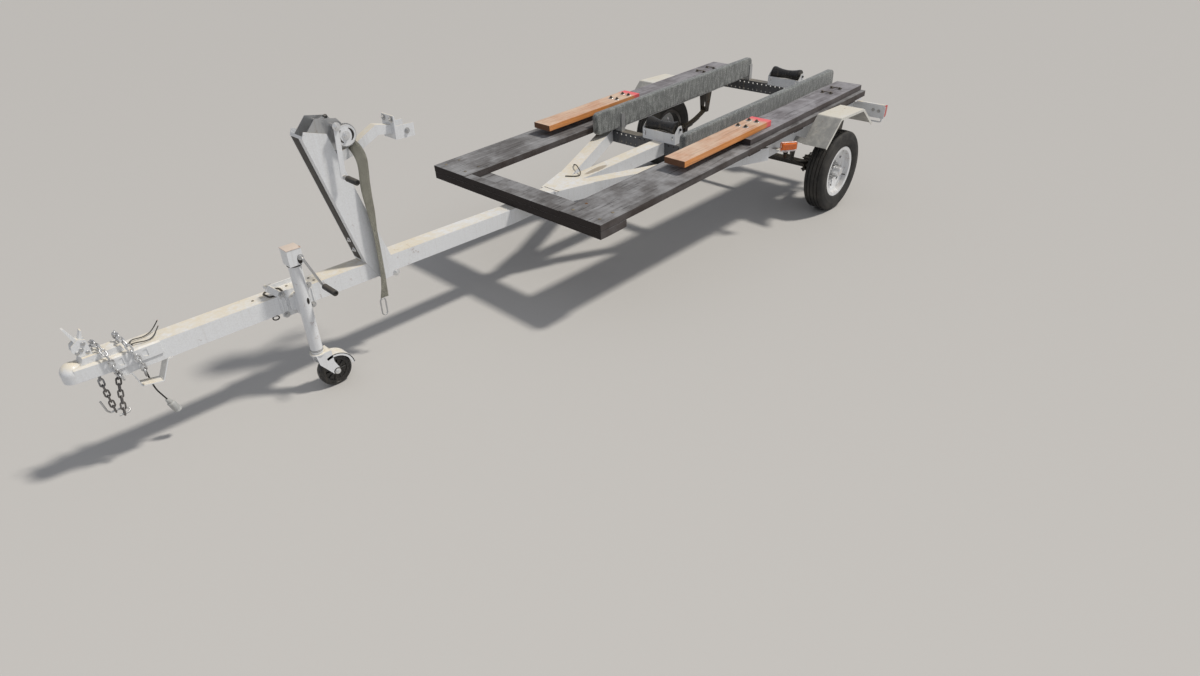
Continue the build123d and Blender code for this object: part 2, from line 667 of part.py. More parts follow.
# Coupler: a sleeve over the tongue that narrows to a domed socket, open below
DOME_R = 38
BALL_X = X_BEND + NOSE_AHEAD - DOME_R
BALL_Z = 452
COUPLER_LOW = 421
COUPLER_T = 5
SHOULDER = 6
SLEEVE_BACK = TONGUE_END - 150
SLEEVE_IN = HALF_W + SEAT
SLEEVE_OUT = SLEEVE_IN + COUPLER_T
SOCKET_BACK = BALL_X - BALL_R - COUPLER_T
NECK_IN = 30
HUMP_HALF = 30
HUMP_TOP = 500
POCKET_R = 15
pocket_places = (TONGUE_END - 18, TONGUE_END - 100)
with BuildPart() as coupler:
    with BuildSketch(Plane.XY.offset(COUPLER_LOW)):
        Polygon(
            (SLEEVE_BACK, SLEEVE_OUT),
            (TONGUE_END + 12, SLEEVE_OUT),
            (BALL_X, DOME_R),
            (BALL_X, -DOME_R),
            (TONGUE_END + 12, -SLEEVE_OUT),
            (SLEEVE_BACK, -SLEEVE_OUT),
            align=None,
        )
    extrude(amount=TONGUE_TOP + SEAT + COUPLER_T - COUPLER_LOW)
    shoulders = coupler.faces().sort_by(Axis.Z)[-1].edges()
    chamfer(shoulders.filter_by(lambda edge: abs(edge.tangent_at(0.5).Y) < 0.5), SHOULDER)
    with BuildSketch(Plane.XY.offset(COUPLER_LOW)):
        with Locations((BALL_X, 0)):
            Circle(DOME_R)
    extrude(amount=BALL_Z - COUPLER_LOW)
    with Locations((BALL_X, 0, BALL_Z)):
        Sphere(DOME_R)
    with BuildSketch(Plane.XZ):
        with BuildLine():
            Polyline(
                (TONGUE_END - 43, TONGUE_TOP),
                (TONGUE_END - 35, HUMP_TOP),
                (TONGUE_END + 87, HUMP_TOP),
                (TONGUE_END + 103, TONGUE_TOP),
                close=True,
            )
        make_face()
    extrude(amount=HUMP_HALF, both=True)
    with BuildSketch(Plane.XY.offset(COUPLER_LOW - 1)):
        with Locations(((SLEEVE_BACK + TONGUE_END) / 2, 0)):
            Rectangle(TONGUE_END - SLEEVE_BACK + 1, 2 * SLEEVE_IN)
    extrude(amount=TONGUE_TOP + SEAT - COUPLER_LOW + 1, mode=Mode.SUBTRACT)
    with BuildSketch(Plane.XY.offset(COUPLER_LOW - 1)):
        Polygon(
            (TONGUE_END, SLEEVE_IN),
            (TONGUE_END + 11, SLEEVE_IN),
            (SOCKET_BACK, NECK_IN),
            (SOCKET_BACK, -NECK_IN),
            (TONGUE_END + 11, -SLEEVE_IN),
            (TONGUE_END, -SLEEVE_IN),
            align=None,
        )
        with Locations((BALL_X, 0)):
            Circle(BALL_R)
    extrude(amount=BALL_Z - COUPLER_LOW + 1, mode=Mode.SUBTRACT)
    with Locations((BALL_X, 0, BALL_Z)):
        Sphere(BALL_R, mode=Mode.SUBTRACT)
    with BuildSketch(Plane.XY.offset(TONGUE_TOP)):
        with Locations((TONGUE_END - 66, 0)):
            SlotOverall(40, 16, rotation=90)
    extrude(amount=COUPLER_T + 2, mode=Mode.SUBTRACT)
    for sign in SIGNS:
        with BuildSketch(Plane.XZ.offset(-sign * (SLEEVE_OUT - COUPLER_T / 2))):
            with Locations([(pocket_x, COUPLER_LOW + 26) for pocket_x in pocket_places]):
                Circle(POCKET_R)
                with Locations((-POCKET_R, 0)):
                    Rectangle(1.6 * POCKET_R, 3 * POCKET_R, mode=Mode.SUBTRACT)
        extrude(amount=-sign * COUPLER_T, mode=Mode.SUBTRACT)
    split(bisect_by=Plane.XY.offset(COUPLER_LOW), keep=Keep.TOP)
finish(coupler, "coupler")

# Coupler latch: two cheeks on the hump with the lever thrown up between them
LATCH_IN = 12
LATCH_CHEEK = 5
with BuildPart() as latch:
    for sign in SIGNS:
        with BuildSketch(Plane.XZ.offset(sign * LATCH_IN)):
            Polygon(
                (TONGUE_END + 50, HUMP_TOP + SEAT),
                (TONGUE_END + 87, HUMP_TOP + SEAT),
                (TONGUE_END + 105, HUMP_TOP + 30),
                (TONGUE_END + 101, HUMP_TOP + 50),
                (TONGUE_END + 75, HUMP_TOP + 68),
                (TONGUE_END + 53, HUMP_TOP + 60),
                align=None,
            )
        extrude(amount=sign * LATCH_CHEEK)
    with BuildSketch(Plane.XZ):
        with Locations((TONGUE_END + 77, HUMP_TOP + 30)):
            Circle(6)
        with Locations((TONGUE_END + 65, HUMP_TOP + 50)):
            Circle(4)
    extrude(amount=LATCH_IN + LATCH_CHEEK + 3, both=True)
    with BuildSketch(Plane.XZ):
        Polygon(
            (TONGUE_END + 65, HUMP_TOP + 14),
            (TONGUE_END + 85, HUMP_TOP + 22),
            (TONGUE_END + 87, HUMP_TOP + 60),
            (TONGUE_END + 103, HUMP_TOP + 118),
            (TONGUE_END + 98, HUMP_TOP + 119),
            (TONGUE_END + 77, HUMP_TOP + 66),
            (TONGUE_END + 71, HUMP_TOP + 66),
            (TONGUE_END + 57, HUMP_TOP + 96),
            (TONGUE_END + 52, HUMP_TOP + 94),
            (TONGUE_END + 63, HUMP_TOP + 56),
            align=None,
        )
    extrude(amount=LATCH_IN - 1, both=True)
finish(latch, "coupler_latch")

# Chain bracket: a bent strap under the tongue that the chains and the plug's wires hang by
BAR_Y = 22
BAR_HALF = 24
BAR_T = 4
with BuildPart() as under_bracket:
    with BuildSketch(Plane.XZ.offset(-BAR_Y)):
        with BuildLine():
            bar = FilletPolyline(
                (TONGUE_END - 10, TONGUE_LOW - SEAT),
                (TONGUE_END - 33, TONGUE_LOW - SEAT),
                (TONGUE_END - 47, 322),
                (TONGUE_END - 115, 308),
                (TONGUE_END - 155, TONGUE_LOW - SEAT),
                (TONGUE_END - 173, TONGUE_LOW - SEAT),
                radius=3,
            )
            offset(bar, amount=BAR_T, side=Side.LEFT)
        make_face()
    extrude(amount=BAR_HALF, both=True)
finish(under_bracket, "under_bracket")

# Safety chains: stadium links in turn flat and on edge, wrapped over the coupler and left to hang
LINK_WIRE = 5
LINK_PITCH = 24
LINK_HALF_W = 9.8
LINK_PLAY = 1.4
chain_runs = (
    # name, points ahead of the tongue's end, to the left, above the ground
    (
        "a",
        (
            (1, 52, 381),
            (13, 62, 420),
            (18, 62, 482),
            (22, 59, 500),
            (26, 48, 515),
            (30, 28, 523),
            (33, 0, 525),
            (33, -28, 523),
            (33, -48, 515),
            (36, -59, 500),
            (39, -62, 482),
            (45, -62, 430),
            (51, -50, 402),
            (61, -12, 385),
            (63, 0, 360),
            (60, 0, 212),
        ),
    ),
    (
        "b",
        (
            (-68, 56, 364),
            (-71, 63, 420),
            (-54, 63, 482),
            (-50, 60, 500),
            (-45, 49, 516),
            (-41, 28, 526),
            (-40, 0, 529),
            (-41, -28, 526),
            (-43, -49, 516),
            (-45, -60, 500),
            (-45, -63, 482),
            (-39, -63, 430),
            (-17, -64, 388),
            (3, -32, 358),
            (18, 0, 330),
            (35, 19, 256),
            (42, 19, 215),
        ),
    ),
)


def chain_joints(points, pitch):
    """Points set one pitch apart, in a straight line, along a run of straight legs."""
    joints = [points[0]]
    leg = 0
    along = 0.0
    while leg < len(points) - 1:
        start = points[leg]
        run = points[leg + 1] - start
        length = run.length
        run = run / length
        gap = start - joints[-1]
        half_b = gap.dot(run)
        root = half_b * half_b - gap.dot(gap) + pitch * pitch
        reach = -half_b + root**0.5 if root > 0 else -1.0
        if along < reach <= length:
            joints.append(start + run * reach)
            along = reach
        else:
            leg += 1
            along = 0.0
    return joints


def octagon(half_long, half_wide):
    """Corners of an eight-sided link outline."""
    corner = half_wide * 0.5
    return (
        (half_long, corner),
        (half_long - corner, half_wide),
        (corner - half_long, half_wide),
        (-half_long, corner),
        (-half_long, -corner),
        (corner - half_long, -half_wide),
        (half_long - corner, -half_wide),
        (half_long, -corner),
    )


link_inner = (LINK_PITCH + LINK_PLAY) / 2
links = []
chain_ends = []
for name, corners in chain_runs:
    joints = chain_joints([Vector(TONGUE_END + dx, y, z) for dx, y, z in corners], LINK_PITCH)
    if len(joints) % 2:
        joints.pop()
    chain_ends.append(joints[-1])
    print(f"safety chain {name}: {len(joints) - 1} links, ends at {joints[-1]}")
    for number, (near, far) in enumerate(zip(joints, joints[1:])):
        run = (far - near).normalized()
        across = run.cross(Vector(1, 0, 0.35)).normalized()
        normal = across if number % 2 else run.cross(across)
        ring = Polygon(*octagon(link_inner + LINK_WIRE, LINK_HALF_W), align=None) - Polygon(
            *octagon(link_inner, LINK_HALF_W - LINK_WIRE), align=None
        )
        place = Plane(origin=(near + far) / 2, x_dir=run, z_dir=normal)
        links.append(extrude(place * ring, amount=LINK_WIRE / 2, both=True))
with BuildPart() as chains:
    add(links)
finish(chains, "safety_chains")

# Chain hook: a bent rod through the last link of each chain
HOOK_R = 3.4
end_a = chain_ends[0] + Vector(0, 0, HOOK_R + 0.2)
end_b = chain_ends[1] + Vector(0, 0, HOOK_R + 0.2)
with BuildPart() as chain_hook:
    with BuildLine():
        hook_path = FilletPolyline(
            (TONGUE_END + 92, end_a.Y, 300),
            (TONGUE_END + 85, end_a.Y, end_a.Z + 12),
            (end_a.X + 16, end_a.Y, end_a.Z),
            (end_a.X - 24, end_a.Y, end_a.Z),
            (end_b.X - 28, (end_a.Y + end_b.Y) / 2, (end_a.Z + end_b.Z) / 2),
            (end_b.X - 16, end_b.Y, end_b.Z),
            (end_b.X + 18, end_b.Y, end_b.Z),
            radius=7,
        )
    with BuildSketch(Plane(origin=hook_path @ 0, z_dir=hook_path % 0)):
        Circle(HOOK_R)
    sweep()
finish(chain_hook, "chain_hook")

# Jack mount: a clamp plate on the tongue's left side, its U-bolts, and the swivel ring
JACK_X = X_BEND + JACK_AHEAD
JACK_Z = 430
JACK_PLATE_L = 150
JACK_PLATE_H = 116
JACK_PLATE_T = 6
JACK_PLATE_OUT = HALF_W + SEAT + JACK_PLATE_T
RING_OUT = JACK_PLATE_OUT + 12
with BuildPart() as jack_mount:
    with BuildSketch(Plane.XZ.offset(-HALF_W - SEAT)):
        with Locations((JACK_X, JACK_Z)):
            RectangleRounded(JACK_PLATE_L, JACK_PLATE_H, 8)
    extrude(amount=-JACK_PLATE_T)
    with BuildSketch(Plane.XZ.offset(-JACK_PLATE_OUT + 0.5)):
        with Locations((JACK_X, JACK_Z)):
            Circle(43)
    extrude(amount=-12.5)
    with BuildSketch(Plane.XZ.offset(HALF_W + SEAT)):
        with Locations((JACK_X, JACK_Z)):
            RectangleRounded(JACK_PLATE_L, JACK_PLATE_H, 8)
    extrude(amount=JACK_PLATE_T)
    with BuildSketch(Plane.XZ):
        with Locations((JACK_X, JACK_Z)):
            with GridLocations(JACK_PLATE_L - 32, JACK_PLATE_H - 20, 2, 2):
                Circle(5)
    extrude(amount=JACK_PLATE_OUT + 10, both=True)
    with BuildSketch(Plane.XZ.offset(-JACK_PLATE_OUT)):
        Polygon(
            (JACK_X + 60, JACK_Z + 57),
            (JACK_X + 75, JACK_Z + 40),
            (JACK_X + 118, JACK_Z + 84),
            (JACK_X + 100, JACK_Z + 104),
            align=None,
        )
    extrude(amount=JACK_PLATE_T)
    with BuildSketch(Plane.XZ.offset(-JACK_PLATE_OUT - 2)):
        with Locations((JACK_X + 100, JACK_Z + 86)):
            Circle(9)
    extrude(amount=44)
finish(jack_mount, "jack_mount")

# Jack: a flange on the swivel ring, the tube with its capped gear head and leg, and the crank
JACK_TUBE_R = 26
JACK_TUBE_LOW = 198
JACK_TUBE_TOP = 622
JACK_HEAD_TOP = 690
JACK_HEAD_W = 60
GRIP_R = 13
FORK_TOP = 190
FORK_T = 4
SWIVEL_R = 8
with BuildPart() as jack_body:
    with BuildSketch(Plane.XZ.offset(-RING_OUT - SEAT)):
        with Locations((JACK_X, JACK_Z)):
            Circle(40)
            Rectangle(84, 60)
    extrude(amount=-8)
    with BuildSketch(Plane.XZ.offset(-RING_OUT - 8)):
        with Locations((JACK_X, JACK_Z)):
            Rectangle(40, 96)
    extrude(amount=-(JACK_Y - RING_OUT - 8))
    with BuildSketch(Plane.XY.offset(JACK_TUBE_LOW)):
        with Locations((JACK_X, JACK_Y)):
            Circle(JACK_TUBE_R)
    extrude(amount=JACK_TUBE_TOP - JACK_TUBE_LOW)
    with BuildSketch(Plane.XY.offset(JACK_TUBE_TOP - 2)):
        with Locations((JACK_X, JACK_Y)):
            Rectangle(JACK_HEAD_W, JACK_HEAD_W)
    extrude(amount=JACK_HEAD_TOP - JACK_TUBE_TOP + 2)
    with BuildSketch(Plane.XY.offset(FORK_TOP + SEAT)):
        with Locations((JACK_X, JACK_Y)):
            Circle(JACK_TUBE_R - 3)
    extrude(amount=JACK_TUBE_LOW - FORK_TOP + 10)
    with BuildSketch(Plane.XY.offset(FORK_TOP - FORK_T - 6)):
        with Locations((JACK_X, JACK_Y)):
            Circle(SWIVEL_R - SEAT)
    extrude(amount=12)
finish(jack_body, "jack_body")

JACK_HEAD_OUT = JACK_Y + JACK_HEAD_W / 2
JACK_ARM_T = 5
JACK_PIVOT = (JACK_X - 20, 650)
JACK_GRIP = (JACK_X - 75, 506)
jack_arm = Vector(JACK_PIVOT) - Vector(JACK_GRIP)
jack_arm_turn = degrees(atan(jack_arm.Y / jack_arm.X))
with BuildPart() as jack_crank:
    with BuildSketch(Plane.XZ.offset(-JACK_HEAD_OUT - SEAT)):
        with Locations(JACK_PIVOT):
            Circle(6)
    extrude(amount=-16)
    with BuildSketch(Plane.XZ.offset(-JACK_HEAD_OUT - 11)):
        with Locations(((JACK_PIVOT[0] + JACK_GRIP[0]) / 2, (JACK_PIVOT[1] + JACK_GRIP[1]) / 2)):
            SlotCenterToCenter(jack_arm.length, 11, rotation=jack_arm_turn)
    extrude(amount=-JACK_ARM_T)
    with BuildSketch(Plane.XZ.offset(-JACK_HEAD_OUT - 14)):
        with Locations(JACK_GRIP):
            Circle(5.5)
    extrude(amount=-16)
finish(jack_crank, "jack_crank")
with BuildPart() as jack_grip:
    with BuildSketch(Plane.XZ.offset(-JACK_HEAD_OUT - 30 - SEAT)):
        with Locations(JACK_GRIP):
            Circle(GRIP_R)
    extrude(amount=-90)
finish(jack_grip, "jack_grip")

# Jack caster: a fork that trails behind the leg, and its wheel
CASTER_R = 76
CASTER_W = 40
CASTER_TRAIL = 55
CASTER_X = JACK_X - CASTER_TRAIL
FORK_IN = CASTER_W / 2 + 6
with BuildPart() as caster_fork:
    with BuildSketch(Plane.XY.offset(FORK_TOP)):
        with Locations((JACK_X, JACK_Y)):
            Circle(34)
        with Locations((JACK_X - 20, JACK_Y)):
            Rectangle(56, 2 * FORK_IN + 2 * FORK_T)
        with Locations((JACK_X, JACK_Y)):
            Circle(SWIVEL_R, mode=Mode.SUBTRACT)
    extrude(amount=-FORK_T)
    for y in (JACK_Y + FORK_IN, JACK_Y - FORK_IN - FORK_T):
        with BuildSketch(Plane.XZ.offset(-y)):
            with BuildLine():
                Polyline(
                    (JACK_X + 22, FORK_TOP),
                    (JACK_X + 14, FORK_TOP - 50),
                    (CASTER_X + 14, CASTER_R - 12),
                    (CASTER_X - 12, CASTER_R - 10),
                    (CASTER_X - 14, CASTER_R + 10),
                    (CASTER_X + 4, FORK_TOP - 60),
                    (JACK_X - 48, FORK_TOP),
                    close=True,
                )
            make_face()
        extrude(amount=-FORK_T)
    with BuildSketch(Plane.XZ.offset(-JACK_Y)):
        with Locations((CASTER_X, CASTER_R)):
            Circle(6)
    extrude(amount=FORK_IN + FORK_T + 6, both=True)
    with BuildSketch(Plane.XZ.offset(-JACK_Y)):
        with BuildLine():
            guard = CenterArc((CASTER_X, CASTER_R), CASTER_R + 8, 65, 110)
            offset(guard, amount=4, side=Side.RIGHT)
        make_face()
    extrude(amount=FORK_IN + FORK_T, both=True)
finish(caster_fork, "caster_fork")
with BuildPart() as caster_wheel:
    with BuildSketch(Plane.XZ.offset(-JACK_Y)):
        with Locations((CASTER_X, CASTER_R)):
            Circle(CASTER_R)
            Circle(6.5, mode=Mode.SUBTRACT)
    extrude(amount=CASTER_W / 2, both=True)
finish(caster_wheel, "caster_wheel")

# Winch post: a tapered channel, open to the rear, that saddles the tongue and leans forward
POST_HALF_W = 50
POST_T = 4
post_profile = (
    # ahead of the bend, height
    (795, 366),
    (862, 478),
    (1022, 1070),
    (1010, 1096),
    (918, 1070),
    (785, 628),
    (702, 374),
)
POST_LEAN = (post_profile[2][0] - post_profile[1][0]) / (post_profile[2][1] - post_profile[1][1])


def web_x(z):
    """Where the rear face of the post's front web lies at a height."""
    return X_BEND + post_profile[1][0] - POST_T + POST_LEAN * (z - post_profile[1][1])


with BuildPart() as winch_post:
    with BuildSketch(Plane.XZ):
        Polygon(*[(X_BEND + dx, z) for dx, z in post_profile], align=None)
    extrude(amount=POST_HALF_W, both=True)
    with BuildSketch(Plane.XZ):
        Polygon(
            (X_BEND + 700, 300),
            (X_BEND + post_profile[0][0] - POST_T, 360),
            (web_x(478), 478),
            (web_x(1070), 1070),
            (X_BEND + 1010, 1200),
            (X_BEND + 700, 1200),
            (X_BEND + 400, 300),
            align=None,
        )
    extrude(amount=POST_HALF_W - POST_T, both=True, mode=Mode.SUBTRACT)
    with BuildSketch(Plane.XZ):
        with Locations((X_BEND + 800, 300)):
            Rectangle(300, 2 * (TONGUE_TOP + SEAT - 300))
    extrude(amount=POST_HALF_W - POST_T, both=True, mode=Mode.SUBTRACT)
    with BuildSketch(Plane.XY.offset(TONGUE_TOP + SEAT)):
        with Locations((X_BEND + 800, 0)):
            Rectangle(110, 2 * POST_HALF_W - 2)
    extrude(amount=POST_T)
    with BuildSketch(Plane.XZ):
        with Locations((X_BEND + 722, TONGUE_LOW - 10)):
            Circle(5)
    extrude(amount=POST_HALF_W + 10, both=True)
finish(winch_post, "winch_post")

# Winch: side frames, drum with its turns of strap, gear, and a cranked handle
WINCH_X = X_BEND + 862
WINCH_Z = 1040
WINCH_HALF = 38
WINCH_LOW = 1000
WINCH_TOP = 1066
SHAFT_X = X_BEND + 888
SHAFT_Z = 1100
SHAFT_R = 7
GEAR_X = X_BEND + 848
GEAR_Z = 1054
with BuildPart() as winch_frame:
    for sign in SIGNS:
        with BuildSketch(Plane.XZ.offset(sign * WINCH_HALF)):
            Polygon(
                (web_x(WINCH_LOW) - POST_T, WINCH_LOW),
                (web_x(WINCH_TOP) - POST_T, WINCH_TOP),
                (X_BEND + 950, 1134),
                (X_BEND + 860, 1120),
                (X_BEND + 822, 1070),
                (X_BEND + 826, 1032),
                (X_BEND + 866, 996),
                align=None,
            )
        extrude(amount=sign * 4)
    with BuildSketch(Plane.XZ):
        Polygon(
            (web_x(WINCH_TOP) - SEAT, WINCH_TOP),
            (web_x(WINCH_TOP) - SEAT - POST_T, WINCH_TOP),
            (web_x(WINCH_LOW) - SEAT - POST_T, WINCH_LOW),
            (web_x(WINCH_LOW) - SEAT, WINCH_LOW),
            align=None,
        )
    extrude(amount=WINCH_HALF + 1, both=True)
    with BuildSketch(Plane.XZ):
        with Locations((WINCH_X, WINCH_Z)):
            Circle(8)
    extrude(amount=WINCH_HALF + 12, both=True)
    with BuildSketch(Plane.XZ.offset(-WINCH_HALF - 4 - 22)):
        with Locations((GEAR_X, GEAR_Z)):
            Circle(44)
    extrude(amount=-8)
    with BuildSketch(Plane.XZ.offset(-WINCH_HALF - 3)):
        with Locations((GEAR_X, GEAR_Z)):
            Circle(12)
    extrude(amount=-24)
    with BuildSketch(Plane.XZ):
        with Locations((SHAFT_X, SHAFT_Z)):
            Circle(SHAFT_R)
    extrude(amount=WINCH_HALF + 48, both=True)
finish(winch_frame, "winch_frame")
with BuildPart() as winch_drum:
    with BuildSketch(Plane.XZ):
        with Locations((WINCH_X, WINCH_Z)):
            Circle(30)
            Circle(8 + SEAT, mode=Mode.SUBTRACT)
    extrude(amount=WINCH_HALF - 6, both=True)
finish(winch_drum, "winch_drum")
WINCH_ARM_Y = WINCH_HALF + 46
WINCH_GRIP_X = SHAFT_X + 12
WINCH_GRIP_Z = 896
winch_arm_turn = 90 + degrees(atan((WINCH_GRIP_X - SHAFT_X) / (SHAFT_Z - WINCH_GRIP_Z)))
with BuildPart() as winch_crank:
    with BuildSketch(Plane.XZ.offset(-WINCH_ARM_Y)):
        with Locations(((SHAFT_X + WINCH_GRIP_X) / 2, (SHAFT_Z + WINCH_GRIP_Z) / 2)):
            SlotCenterToCenter(SHAFT_Z - WINCH_GRIP_Z, 22, rotation=winch_arm_turn)
        with Locations((SHAFT_X, SHAFT_Z)):
            Circle(SHAFT_R + SEAT, mode=Mode.SUBTRACT)
    extrude(amount=5)
    with BuildSketch(Plane.XZ.offset(-WINCH_ARM_Y)):
        with Locations((WINCH_GRIP_X, WINCH_GRIP_Z)):
            Circle(6)
    extrude(amount=-10)
finish(winch_crank, "winch_crank")
with BuildPart() as winch_grip:
    with BuildSketch(Plane.XZ.offset(-WINCH_ARM_Y - 10 - SEAT)):
        with Locations((WINCH_GRIP_X, WINCH_GRIP_Z)):
            Circle(GRIP_R)
    extrude(amount=-95)
finish(winch_grip, "winch_grip")

# Bow stop: a bent arm off the post's rear edge with a two-eared bracket at its tip
ARM_LOW = 905
ARM_TOP = 945
STOP_X = X_BEND + 601
STOP_Z = 1028
STOP_H = 100
EAR_REACH = 92
EAR_H = 58
with BuildPart() as bow_stop:
    with BuildSketch(Plane.XZ):
        Polygon(
            (web_x(ARM_LOW) - SEAT, ARM_LOW),
            (web_x(ARM_TOP) - SEAT, ARM_TOP),
            (STOP_X + 183, STOP_Z - 30),
            (STOP_X + 79, STOP_Z + 24),
            (STOP_X + 5, STOP_Z + 8),
            (STOP_X + 5, STOP_Z - 28),
            (STOP_X + 71, STOP_Z - 20),
            (STOP_X + 178, STOP_Z - 71),
            align=None,
        )
    extrude(amount=20, both=True)
    with BuildSketch(Plane.YZ.offset(STOP_X)):
        with Locations((0, STOP_Z)):
            Rectangle(92, STOP_H)
    extrude(amount=6)
    for sign in SIGNS:
        with BuildSketch(Plane.XZ.offset(sign * 42)):
            with Locations((STOP_X + 1 - EAR_REACH / 2, STOP_Z - 22)):
                Rectangle(EAR_REACH, EAR_H)
        extrude(amount=sign * 4)
finish(bow_stop, "bow_stop")

# Winch strap: flat webbing off the drum that turns on edge and hangs down the post's left side
STRAP_W = 50
STRAP_T = 3
STRAP_LOW = 290
strap_sections = (
    # ahead of the bend, to the left, height, turn of its width from the Y direction in degrees
    (830.2, 0, 1040, 0),
    (826, 10, 1016, 12),
    (819, 40, 986, 50),
    (812, 62, 950, 78),
    (812, 66, 900, 90),
)
with BuildPart() as strap:
    for dx, y, z, turn in strap_sections:
        with BuildSketch(Plane.XY.offset(z)):
            with Locations((X_BEND + dx, y)):
                Rectangle(STRAP_T, STRAP_W, rotation=turn)
    loft(ruled=True)
    with BuildSketch(Plane.XY.offset(strap_sections[-1][2])):
        with Locations((X_BEND + strap_sections[-1][0], strap_sections[-1][1])):
            Rectangle(STRAP_W, STRAP_T)
    extrude(amount=STRAP_LOW - strap_sections[-1][2])
finish(strap, "winch_strap")

STRAP_HOOK_T = 7
with BuildPart() as strap_hook:
    with BuildSketch(Plane.XZ.offset(-strap_sections[-1][1])):
        with Locations((X_BEND + strap_sections[-1][0] + 14, STRAP_LOW - 46 - SEAT)):
            SlotOverall(92, 34, rotation=90)
            SlotOverall(92 - 2 * STRAP_HOOK_T, 34 - 2 * STRAP_HOOK_T, rotation=90, mode=Mode.SUBTRACT)
    extrude(amount=STRAP_HOOK_T / 2, both=True)
finish(strap_hook, "strap_hook")

# Wires: one drops to the plug, two more come up out of the coupler's slot and end bare
cord_rows = (
    # name, diameter, points ahead of the tongue's end, to the left and above the ground
    (
        "plug_wire",
        6,
        (
            (-79, -8, 389.7),
            (-82, -9, 345),
            (-84, -10, 300),
            (-88, -10, 256),
            (-100, -9, 222),
            (-110, -8, 196),
        ),
    ),
    (
        "harness_wire_a",
        4,
        (
            (-63, -8, 472),
            (-69, -8, 481),
            (-83, -12, 484),
            (-113, -16, 481),
            (-141, -26, 484),
            (-163, -36, 497),
            (-181, -44, 516),
        ),
    ),
    (
        "harness_wire_b",
        4,
        (
            (-64, 8, 472),
            (-70, 9, 481),
            (-88, 14, 485),
            (-113, 22, 481),
            (-137, 14, 480),
            (-158, -6, 486),
            (-173, -26, 501),
        ),
    ),
)


def bend_radii(points):
    """Radius of each corner: 0.45 of its shorter leg over the tangent of half its turn."""
    radii = []
    for before, here, after in zip(points, points[1:], points[2:]):
        half_turn = radians((here - before).get_angle(after - here)) / 2
        radii.append(0.45 * min((here - before).length, (after - here).length) / tan(half_turn))
    return radii


for name, diameter, places in cord_rows:
    points = [Vector(TONGUE_END + dx, y, z) for dx, y, z in places]
    radii = bend_radii(points)
    with BuildPart() as cord:
        with BuildLine():
            route = FilletPolyline(*points, radius=radii)
        with BuildSketch(Plane(origin=route @ 0, z_dir=route % 0)):
            Circle(diameter / 2)
        sweep()
    print(f"{name}: {route.length:.0f} mm, radii {[round(radius) for radius in radii]}")
    finish(cord, name)

# Plug: the trailer's wiring plug, hanging on its wire
with BuildPart() as plug:
    with BuildSketch(Plane(origin=(TONGUE_END - 110, -8, 196 - SEAT), z_dir=(-0.32, 0, -0.947))):
        Circle(10)
    extrude(amount=22)
    with BuildSketch(Plane(origin=(TONGUE_END - 117, -8, 196 - 21), z_dir=(-0.32, 0, -0.947))):
        Circle(15)
    extrude(amount=48)
finish(plug, "wiring_plug")
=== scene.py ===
"""Boat trailer: finishes, small parts, cords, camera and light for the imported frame."""

from __future__ import annotations

import logging
import math
from dataclasses import dataclass
from enum import Enum
from typing import Sequence
import bmesh
import bpy
from mathutils import Matrix, Vector
from mathutils.noise import noise


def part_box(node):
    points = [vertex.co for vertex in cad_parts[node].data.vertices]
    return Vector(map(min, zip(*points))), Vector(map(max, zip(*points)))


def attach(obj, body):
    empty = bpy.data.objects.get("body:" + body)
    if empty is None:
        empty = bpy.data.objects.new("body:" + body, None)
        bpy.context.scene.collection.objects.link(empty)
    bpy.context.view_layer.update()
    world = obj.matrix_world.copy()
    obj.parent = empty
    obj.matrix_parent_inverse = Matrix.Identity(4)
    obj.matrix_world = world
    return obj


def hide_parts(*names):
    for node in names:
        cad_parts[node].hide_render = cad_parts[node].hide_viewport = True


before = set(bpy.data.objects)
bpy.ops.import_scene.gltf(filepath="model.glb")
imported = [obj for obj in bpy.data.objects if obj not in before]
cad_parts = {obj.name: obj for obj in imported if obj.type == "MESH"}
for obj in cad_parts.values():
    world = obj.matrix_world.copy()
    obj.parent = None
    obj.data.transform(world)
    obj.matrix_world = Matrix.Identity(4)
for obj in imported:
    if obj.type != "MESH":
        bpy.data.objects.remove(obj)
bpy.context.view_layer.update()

BEND_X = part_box("tongue_tube")[0][0]
TONGUE_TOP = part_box("tongue_tube")[1][2]
NEW_BOARD_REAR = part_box("new_boards")[0][0]
PITCH = math.radians(3.12)
AHEAD = Vector((1.0, 0.0, 0.0))
LEFT = Vector((0.0, 1.0, 0.0))
UP = Vector((0.0, 0.0, 1.0))
PITCHED_UP = Vector((math.sin(PITCH), 0.0, math.cos(PITCH)))
SIDES = (1, -1)
LOG = logging.getLogger("boat_trailer")

Color = tuple[float, float, float]
Point = tuple[float, float, float]
Pair = tuple[float, float]
Profile = tuple[Pair, ...]
Ring = tuple[float, float, float, float]
Shape = bmesh.types.BMesh
Socket = bpy.types.NodeSocket


def rear_point(ahead: float, left: float, up: float) -> Vector:
    """Row-frame point of the pitched rear frame.

    Args:
        ahead: metres ahead of the bend along the frame, negative towards the tail.
        left: metres to the trailer's left.
        up: metres above the frame's top face, square to it.

    Returns:
        The point in the row frame.
    """
    forward = BEND_X + ahead * math.cos(PITCH) + up * math.sin(PITCH)
    return Vector((forward, left, TONGUE_TOP - ahead * math.sin(PITCH) + up * math.cos(PITCH)))


def tongue_point(ahead: float, left: float, height: float) -> Vector:
    """Row-frame point from metres ahead of the bend, to the left and above the ground."""
    return Vector((BEND_X + ahead, left, height))


def spoke(angle: float) -> Vector:
    """Unit vector square to the Y axis, at an angle up from straight ahead."""
    return Vector((math.cos(angle), 0.0, math.sin(angle)))


def rgba(color: Color) -> tuple[float, float, float, float]:
    """Colour with full alpha."""
    return (*color, 1.0)


